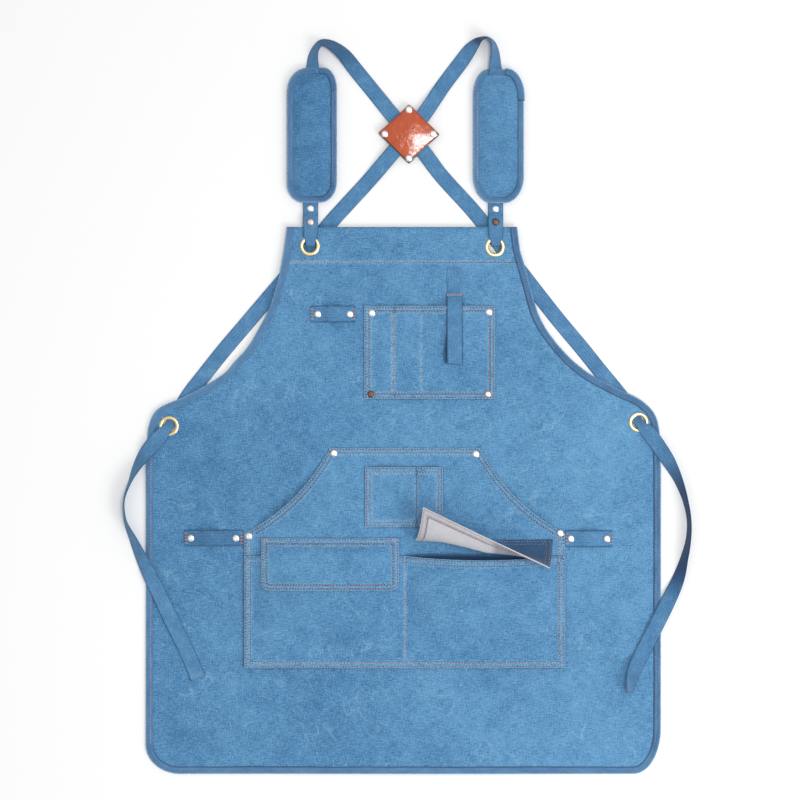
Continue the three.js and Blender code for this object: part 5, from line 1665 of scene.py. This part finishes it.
def hand_contact(x, y):
    """How near the hand pocket's cloth is to what lies on it, or how deep in the gaping pouch's shade."""
    hinge = np.array([(FLAP_RIGHT["left"], FLAP_RIGHT["hinge"]), (FLAP_RIGHT["right"], FLAP_RIGHT["hinge"])])
    mouth_x = np.linspace(HAND["centre"] - HAND["half"], HAND["centre"] + HAND["half"], 40)
    mouth = np.stack([mouth_x, pouch_mouth(mouth_x)], axis=1)
    contact = distance_to(x, y, [box_line(TOOL_PATCH), box_line(FLAP_LEFT), hinge, mouth])
    gape = 7.5 * np.sin(math.pi * np.clip((x - HAND["centre"]) / 165.0, 0.0, 1.0)) ** 0.6
    return np.minimum(contact, (y - pouch_mouth(x) - gape) * 1.5)


def sew_hand_pocket(thread):
    x, y = hand_grid()
    inside = distance_to(x, y, [hand_outline()])
    under = hand_under(x, y)
    pocket = add_sheet("hand_pocket_cloth", x, y, under, under + CANVAS + hem_rise(inside), ("hand_pocket",),
                       inside, nearest_row(inside), hand_contact(x, y), 0.01)
    height = above(hand_under, CANVAS + SEWN_RISE)
    left, right = HAND["centre"] - HAND["half"], HAND["centre"] + HAND["half"]
    for row in ROWS:
        reach = HAND["top_half"] + 0.4 * row
        top = HAND["top"] - row
        thread.on([(HAND["centre"] - reach, top), (HAND["centre"] + reach, top)], height, tone=0.5)
        for sign in (-1, 1):
            thread.on(offset_mouth(row, sign)[2:], height, tone=0.85, dyed=0.3)
        for at, tone in ((left + row, 0.2), (right - row, 0.3)):
            thread.on([(at, HAND["corner"]), (at, POUCH_TOP)], height, tone=tone)


def sew_lower_pocket(thread):
    centre, half = HAND["centre"], HAND["half"]
    columns = stops(centre - half, centre + half, 3.2)
    shares = stops(0.0, 1.0, 0.022, (0.0, 0.0024, 0.006, 0.0125))
    x = np.repeat(columns[None, :], len(shares), axis=0)
    y = pouch_mouth(x) + (HAND["bottom"] - pouch_mouth(x)) * shares[:, None]
    inside = pouch_inside(x, y)
    # The pocket gets a painted shade line round the closed flap
    pocket = add_sheet("lower_pocket_cloth", x, y, pouch_under(x, y), pouch_top(x, y),
                       ("lower_pocket_left", "lower_pocket_right"), inside,
                       nearest_row(inside, np.abs(x - centre) + 0.3),
                       distance_to(x, y, [flap_left_outline()]))
    for row in ROWS:
        edge = np.stack([columns[6:-6], pouch_mouth(columns[6:-6]) - row], axis=1)
        thread.on(edge, pouch_top, tone=0.75, dyed=0.25)
        low = HAND["bottom"] + row
        for at, tone in ((centre - half + row, 0.1), (centre + half - row, 0.2)):
            thread.on([(at, POUCH_TOP), (at, low)], pouch_top, tone=tone)
        thread.on([(centre - half + row, low), (centre + half - row, low)], pouch_top, tone=0.25)
    thread.on([(centre, POUCH_TOP), (centre, HAND["bottom"] + ROWS[1])], pouch_top, tone=0.2)


def flap_left_outline(by=0.0):
    left, right = FLAP_LEFT["left"] + by, FLAP_LEFT["right"] - by
    top, bottom, corner = FLAP_LEFT["top"] - by, FLAP_LEFT["bottom"] + by, FLAP_LEFT["corner"] - by
    turn = np.linspace(0.0, math.pi / 2, 8)
    first = np.stack([left + corner * (1 - np.cos(turn)), bottom + corner * (1 - np.sin(turn))], axis=1)
    second = np.stack([right - corner * (1 - np.sin(turn)), bottom + corner * (1 - np.cos(turn))], axis=1)
    return np.concatenate([[(left, top)], first, second, [(right, top), (left, top)]])


def flap_left_under(x, y):
    """The closed flap climbs over the pouch's mouth and lies on the pouch, its lower edge standing off."""
    mouth = pouch_mouth(x) - 0.1
    rise = pouch_top(x, mouth) - hand_top(x, mouth)
    climb = hand_top(x, y) + GAP + rise * (1.0 - smooth(y, POUCH_TOP + 2.0, POUCH_TOP + 17.0))
    return np.where(y < mouth, pouch_top(x, y) + GAP, climb) + FLAP_LIP * smooth(-y, *FLAP_LIP_SPAN)


def sew_flap_left(thread):
    corner = FLAP_LEFT["corner"]
    straight = stops(FLAP_LEFT["top"], FLAP_LEFT["bottom"] + corner, 2.8)[:-3]
    turn = np.linspace(0.0, math.pi / 2, 12)
    ys = np.concatenate([straight, FLAP_LEFT["bottom"] + corner * (1 - np.sin(turn))])
    pulled = np.concatenate([np.zeros(len(straight)), corner * (1 - np.cos(turn))])
    shares = stops(0.0, 1.0, 0.0155, (0.0, 0.0019, 0.005, 0.0105))
    left, right = FLAP_LEFT["left"] + pulled, FLAP_LEFT["right"] - pulled
    x = left[:, None] + (right - left)[:, None] * shares
    y = np.repeat(ys[:, None], len(shares), axis=1)
    inside = distance_to(x, y, [flap_left_outline()])
    under = flap_left_under(x, y)
    flap = add_sheet("flap_left_cloth", x, y, under, under + FLAP + hem_rise(inside), ("flap_left",), inside,
                     nearest_row(inside), tone=0.06)
    height = above(flap_left_under, FLAP + SEWN_RISE)
    for row in ROWS:
        thread.on(flap_left_outline(row), height, tone=0.5)
    tack_y = FLAP_LEFT["top"] - ROWS[0]
    for at in (FLAP_LEFT["left"] + 2.0, FLAP_LEFT["right"] - 10.0):
        thread.tack((at, tack_y), (at + 8.0, tack_y), height)


def raised_flap(along, out):
    """A place on the raised flap's middle surface, from shares along its hinge and out to its tip."""
    tip_x, tip_y, rise, belly = (np.interp(along, FLAP_SECTIONS[:, 0], FLAP_SECTIONS[:, k])
                                 for k in range(1, 5))
    foot_x = FLAP_RIGHT["left"] + (FLAP_RIGHT["right"] - FLAP_RIGHT["left"]) * along
    foot_y = np.full_like(foot_x, FLAP_RIGHT["hinge"])
    foot_z = hand_top(foot_x, foot_y) + 3 * GAP + FLAP / 2
    lean = tip_y - foot_y
    reach = np.hypot(rise, lean)
    bulge = belly * np.sin(math.pi * out)
    x = foot_x + (tip_x - foot_x) * out
    y = foot_y + lean * out - bulge * rise / reach
    z = foot_z + rise * out + bulge * lean / reach
    return np.stack([x, y, z], axis=-1)


def raised_normals(along, out):
    step = 0.01
    across = raised_flap(np.minimum(along + step, 1.0), out) - raised_flap(np.maximum(along - step, 0.0), out)
    down = raised_flap(along, np.minimum(out + step, 1.0)) - raised_flap(along, np.maximum(out - step, 0.0))
    normal = np.cross(across, down)
    return normal / np.linalg.norm(normal, axis=-1, keepdims=True)


def sew_flap_right(thread):
    wide, deep = FLAP_RIGHT["right"] - FLAP_RIGHT["left"], FLAP_RIGHT["deep"]
    along, out = np.meshgrid(stops(0.0, wide, 2.8) / wide, stops(0.0, deep, 2.8) / deep)
    u, v = along * wide, out * deep
    inside = np.min([u, wide - u, deep - v], axis=0)
    middle, normal = raised_flap(along, out), raised_normals(along, out)
    wall = FLAP / 2 + 0.5 * hem_rise(inside) - 0.35 * (1.0 - smooth(inside, 0.0, 0.9))
    points = np.concatenate([(middle + normal * side[..., None]).reshape(-1, 3) for side in (wall, -wall)])
    faces = wall_faces(*along.shape)
    # Painted shade on the flap's far part, and a painted highlight along its free edges
    shaded = smooth(along, 0.5, 0.72)
    lit_border = inside < 0.1
    contact = np.where(lit_border, 1.9, 1.9 - 5.2 * shaded)
    tone = np.where(lit_border, 0.8, 0.1 - 0.3 * shaded)
    looks = np.repeat((1, 0, 1), [len(part) for part in faces])
    faces = outward(points, np.concatenate(faces).tolist())
    flap = add_piece("flap_right_cloth", points, faces, ("canvas", "reverse"), "canvas", ("flap_right",),
                     looks, cloth=by_place(u, v, nearest_row(inside)),
                     edge=by_place(inside, contact, tone))
    for row in ROWS:
        line = rectangle(row, wide - row, row + 1.0, deep - row)
        arc = arc_of(line)
        a, o = (spread(line, arc, np.linspace(0.0, arc[-1], 300)) / (wide, deep)).T
        spots, ups = raised_flap(a, o), raised_normals(a, o)
        thread.row(spots + ups * (FLAP / 2 + 0.25), ups, tone=0.4)
        thread.row(spots - ups * (FLAP / 2 + 0.25), -ups, tone=0.85, dyed=0.6)


def sew_tool_patch(thread):
    x, y = box_grid(TOOL_PATCH, 2.4, 2.4)
    patch = add_flat_pocket("tool_patch_cloth", "tool_patch_pocket", x, y, TOOL_PATCH, tool_patch_under,
                            TOOL_DIVIDERS)
    sew_flat_pocket(thread, TOOL_PATCH, tool_patch_under, TOOL_DIVIDERS, (0.15, 0.6, 0.15, 0.6), 0.1)


def sew_pockets():
    chest = Thread()
    for sew in (sew_chest_pocket, sew_chest_strap):
        sew(chest)
    chest.finish("stitching_chest")
    pockets = Thread()
    for sew in (sew_hand_pocket, sew_lower_pocket, sew_flap_left, sew_flap_right, sew_tool_patch):
        sew(pockets)
    pockets.finish("stitching_pockets")


def sew_tool_loops():
    thread = Thread()
    for name, left, right, y, arch, shade, (first, second) in TOOL_LOOPS:
        middle, shoulder = (first + second) / 2, 0.7 * (second - first) / 4
        spots = ((left, 0.0), (first + LOOP_FLAT, 0.0), (middle - shoulder, 0.86 * arch), (middle, arch),
                 (middle + shoulder, 0.86 * arch), (second - LOOP_FLAT, 0.0), (right, 0.0))
        rows = on_panel([(x, y, 2 * GAP + rise, 0.0, LOOP_WIDTH) for x, rise in spots])
        ups = add_strap(f"{name}_webbing", rows, name, step=2.5, shade=lambda px, py: shade)
        for station in (0, 1, -1, -2):
            cross_row(ups, station, 8.6, thread, 0.1)
    thread.finish("stitching_loops")


def add_leather():
    model_leather("cross_patch_back", 0.0)
    model_leather("cross_patch_front", PATCH_CROWN, PATCH_PULL, PATCH_TURN)


def add_copies(model, place, nodes):
    """Puts copies of a modelled piece in their nodes' places, and takes the model away."""
    for node in nodes:
        place(model, node)
    bpy.data.objects.remove(model)


def add_eyelets():
    add_copies(model_eyelet(), place_eyelet, EYELETS)


def add_rivets():
    add_copies(model_rivet(), place_rivet, RIVETS)


# Stage

FLOOR_SIDE = 9.0
SENSOR = 36.0
# What the camera looks at, on the apron's plan
VIEW_MIDDLE = (-4.0, 5.33, 4.0)
# The two lights: place, size, and the place that each is turned to, in metres
LIGHTS = {
    "key": ((1.75, -1.35, 1.9), 1.3, (0.0, 0.0, 0.0)),
    "front": ((0.62, 0.2, 3.2), 0.8, (0.0, 0.1, 0.0)),
}


def add_light(name, power):
    place, size, target = LIGHTS[name]
    bpy.ops.object.light_add(type="AREA", location=place)
    light = bpy.context.object
    light.name = name
    light.data.shape = "DISK"
    light.data.size = size
    light.data.energy = power
    light.rotation_euler = (Vector(target) - light.location).to_track_quat("-Z", "Y").to_euler()


def set_stage():
    scene = bpy.context.scene
    stage = scene.apron_stage
    floor = begin(bpy.ops.mesh.primitive_plane_add, size=FLOOR_SIDE, location=(0, 0, 0))
    bpy.ops.object.mode_set(mode="EDIT")
    bpy.ops.mesh.subdivide(number_cuts=3)
    bpy.ops.object.mode_set(mode="OBJECT")
    floor.name = "floor"
    floor.data.materials.append(FINISHES["floor"])
    scene.world = bpy.data.worlds.new("studio")
    scene.world.use_nodes = True
    background = scene.world.node_tree.nodes["Background"]
    background.inputs["Color"].default_value = (1.0, 1.0, 1.0, 1.0)
    background.inputs["Strength"].default_value = stage.fill
    add_light("key", stage.key)
    add_light("front", stage.front)
    x, y, z = (VIEW_MIDDLE + SHIFT) * MM
    bpy.ops.object.camera_add(location=(x, y, z + stage.width * stage.lens / SENSOR), rotation=(0, 0, 0))
    camera = bpy.context.object
    camera.data.lens = stage.lens
    camera.data.sensor_width = SENSOR
    camera.data.clip_end = 60.0
    scene.camera = camera
    scene.view_settings.view_transform = "Standard"
    scene.view_settings.look = "None"


# Operators


class ApronOperator:
    """What the apron's operators share"""
    bl_options = {"REGISTER", "UNDO"}

    def execute(self, context):
        self.make()
        return {"FINISHED"}


class APRON_OT_finishes(ApronOperator, bpy.types.Operator):
    """Makes the apron's materials"""
    bl_idname = "apron.finishes"
    bl_label = "Materials"
    make = staticmethod(make_finishes)


class APRON_OT_straps(ApronOperator, bpy.types.Operator):
    """Adds the two long straps with their ties"""
    bl_idname = "apron.straps"
    bl_label = "Straps"
    make = staticmethod(sew_straps)


class APRON_OT_panel(ApronOperator, bpy.types.Operator):
    """Adds the canvas panel with its hem and eyelet holes"""
    bl_idname = "apron.panel"
    bl_label = "Panel"
    make = staticmethod(sew_panel)


class APRON_OT_binding(ApronOperator, bpy.types.Operator):
    """Adds the tape folded round the panel's edge"""
    bl_idname = "apron.binding"
    bl_label = "Edge Binding"
    make = staticmethod(sew_binding)


class APRON_OT_pads(ApronOperator, bpy.types.Operator):
    """Adds the filled shoulder pads and their bound edges"""
    bl_idname = "apron.pads"
    bl_label = "Shoulder Pads"
    make = staticmethod(sew_pads)


class APRON_OT_bib_loops(ApronOperator, bpy.types.Operator):
    """Adds the short straps that hang the bib on the pads"""
    bl_idname = "apron.bib_loops"
    bl_label = "Bib Loops"
    make = staticmethod(sew_bib_loops)


class APRON_OT_pockets(ApronOperator, bpy.types.Operator):
    """Adds the chest pocket and its strap, the hand pocket, the lower pocket, its flaps and the tool patch"""
    bl_idname = "apron.pockets"
    bl_label = "Pockets"
    make = staticmethod(sew_pockets)


class APRON_OT_tool_loops(ApronOperator, bpy.types.Operator):
    """Adds the arched tool loops"""
    bl_idname = "apron.tool_loops"
    bl_label = "Tool Loops"
    make = staticmethod(sew_tool_loops)


class APRON_OT_leather(ApronOperator, bpy.types.Operator):
    """Adds the leather squares that hold the crossing"""
    bl_idname = "apron.leather"
    bl_label = "Leather Squares"
    make = staticmethod(add_leather)


class APRON_OT_eyelets(ApronOperator, bpy.types.Operator):
    """Adds the brass eyelets"""
    bl_idname = "apron.eyelets"
    bl_label = "Eyelets"
    make = staticmethod(add_eyelets)


class APRON_OT_rivets(ApronOperator, bpy.types.Operator):
    """Adds the rivets"""
    bl_idname = "apron.rivets"
    bl_label = "Rivets"
    make = staticmethod(add_rivets)


class APRON_OT_stage(ApronOperator, bpy.types.Operator):
    """Adds the floor, the light and the camera"""
    bl_idname = "apron.stage"
    bl_label = "Stage"
    make = staticmethod(set_stage)


STEPS = (
    APRON_OT_finishes, APRON_OT_straps, APRON_OT_panel, APRON_OT_binding, APRON_OT_pads,
    APRON_OT_bib_loops, APRON_OT_pockets, APRON_OT_tool_loops, APRON_OT_leather, APRON_OT_eyelets,
    APRON_OT_rivets, APRON_OT_stage,
)


class APRON_PT_pieces(bpy.types.Panel):
    """Lists the apron's pieces"""
    bl_idname = "APRON_PT_pieces"
    bl_label = "Canvas Work Apron"
    bl_space_type = "VIEW_3D"
    bl_region_type = "UI"
    bl_category = "Apron"

    def draw(self, context):
        for step in STEPS:
            self.layout.operator(step.bl_idname)
        for group in (context.scene.apron_colours, context.scene.apron_sewing, context.scene.apron_stage):
            for name in group.__annotations__:
                self.layout.prop(group, name)


GROUPS = {"apron_colours": ApronColours, "apron_sewing": ApronSewing, "apron_stage": ApronStage}


def register():
    for cls in (*GROUPS.values(), *STEPS, APRON_PT_pieces):
        bpy.utils.register_class(cls)
    for name, group in GROUPS.items():
        setattr(bpy.types.Scene, name, PointerProperty(type=group))


def unregister():
    for name in GROUPS:
        delattr(bpy.types.Scene, name)
    for cls in (APRON_PT_pieces, *STEPS[::-1], *GROUPS.values()):
        bpy.utils.unregister_class(cls)


def main():
    register()
    bpy.ops.object.select_all(action="DESELECT")
    for step in STEPS:
        group, name = step.bl_idname.split(".")
        getattr(getattr(bpy.ops, group), name)()


if __name__ == "__main__":
    main()
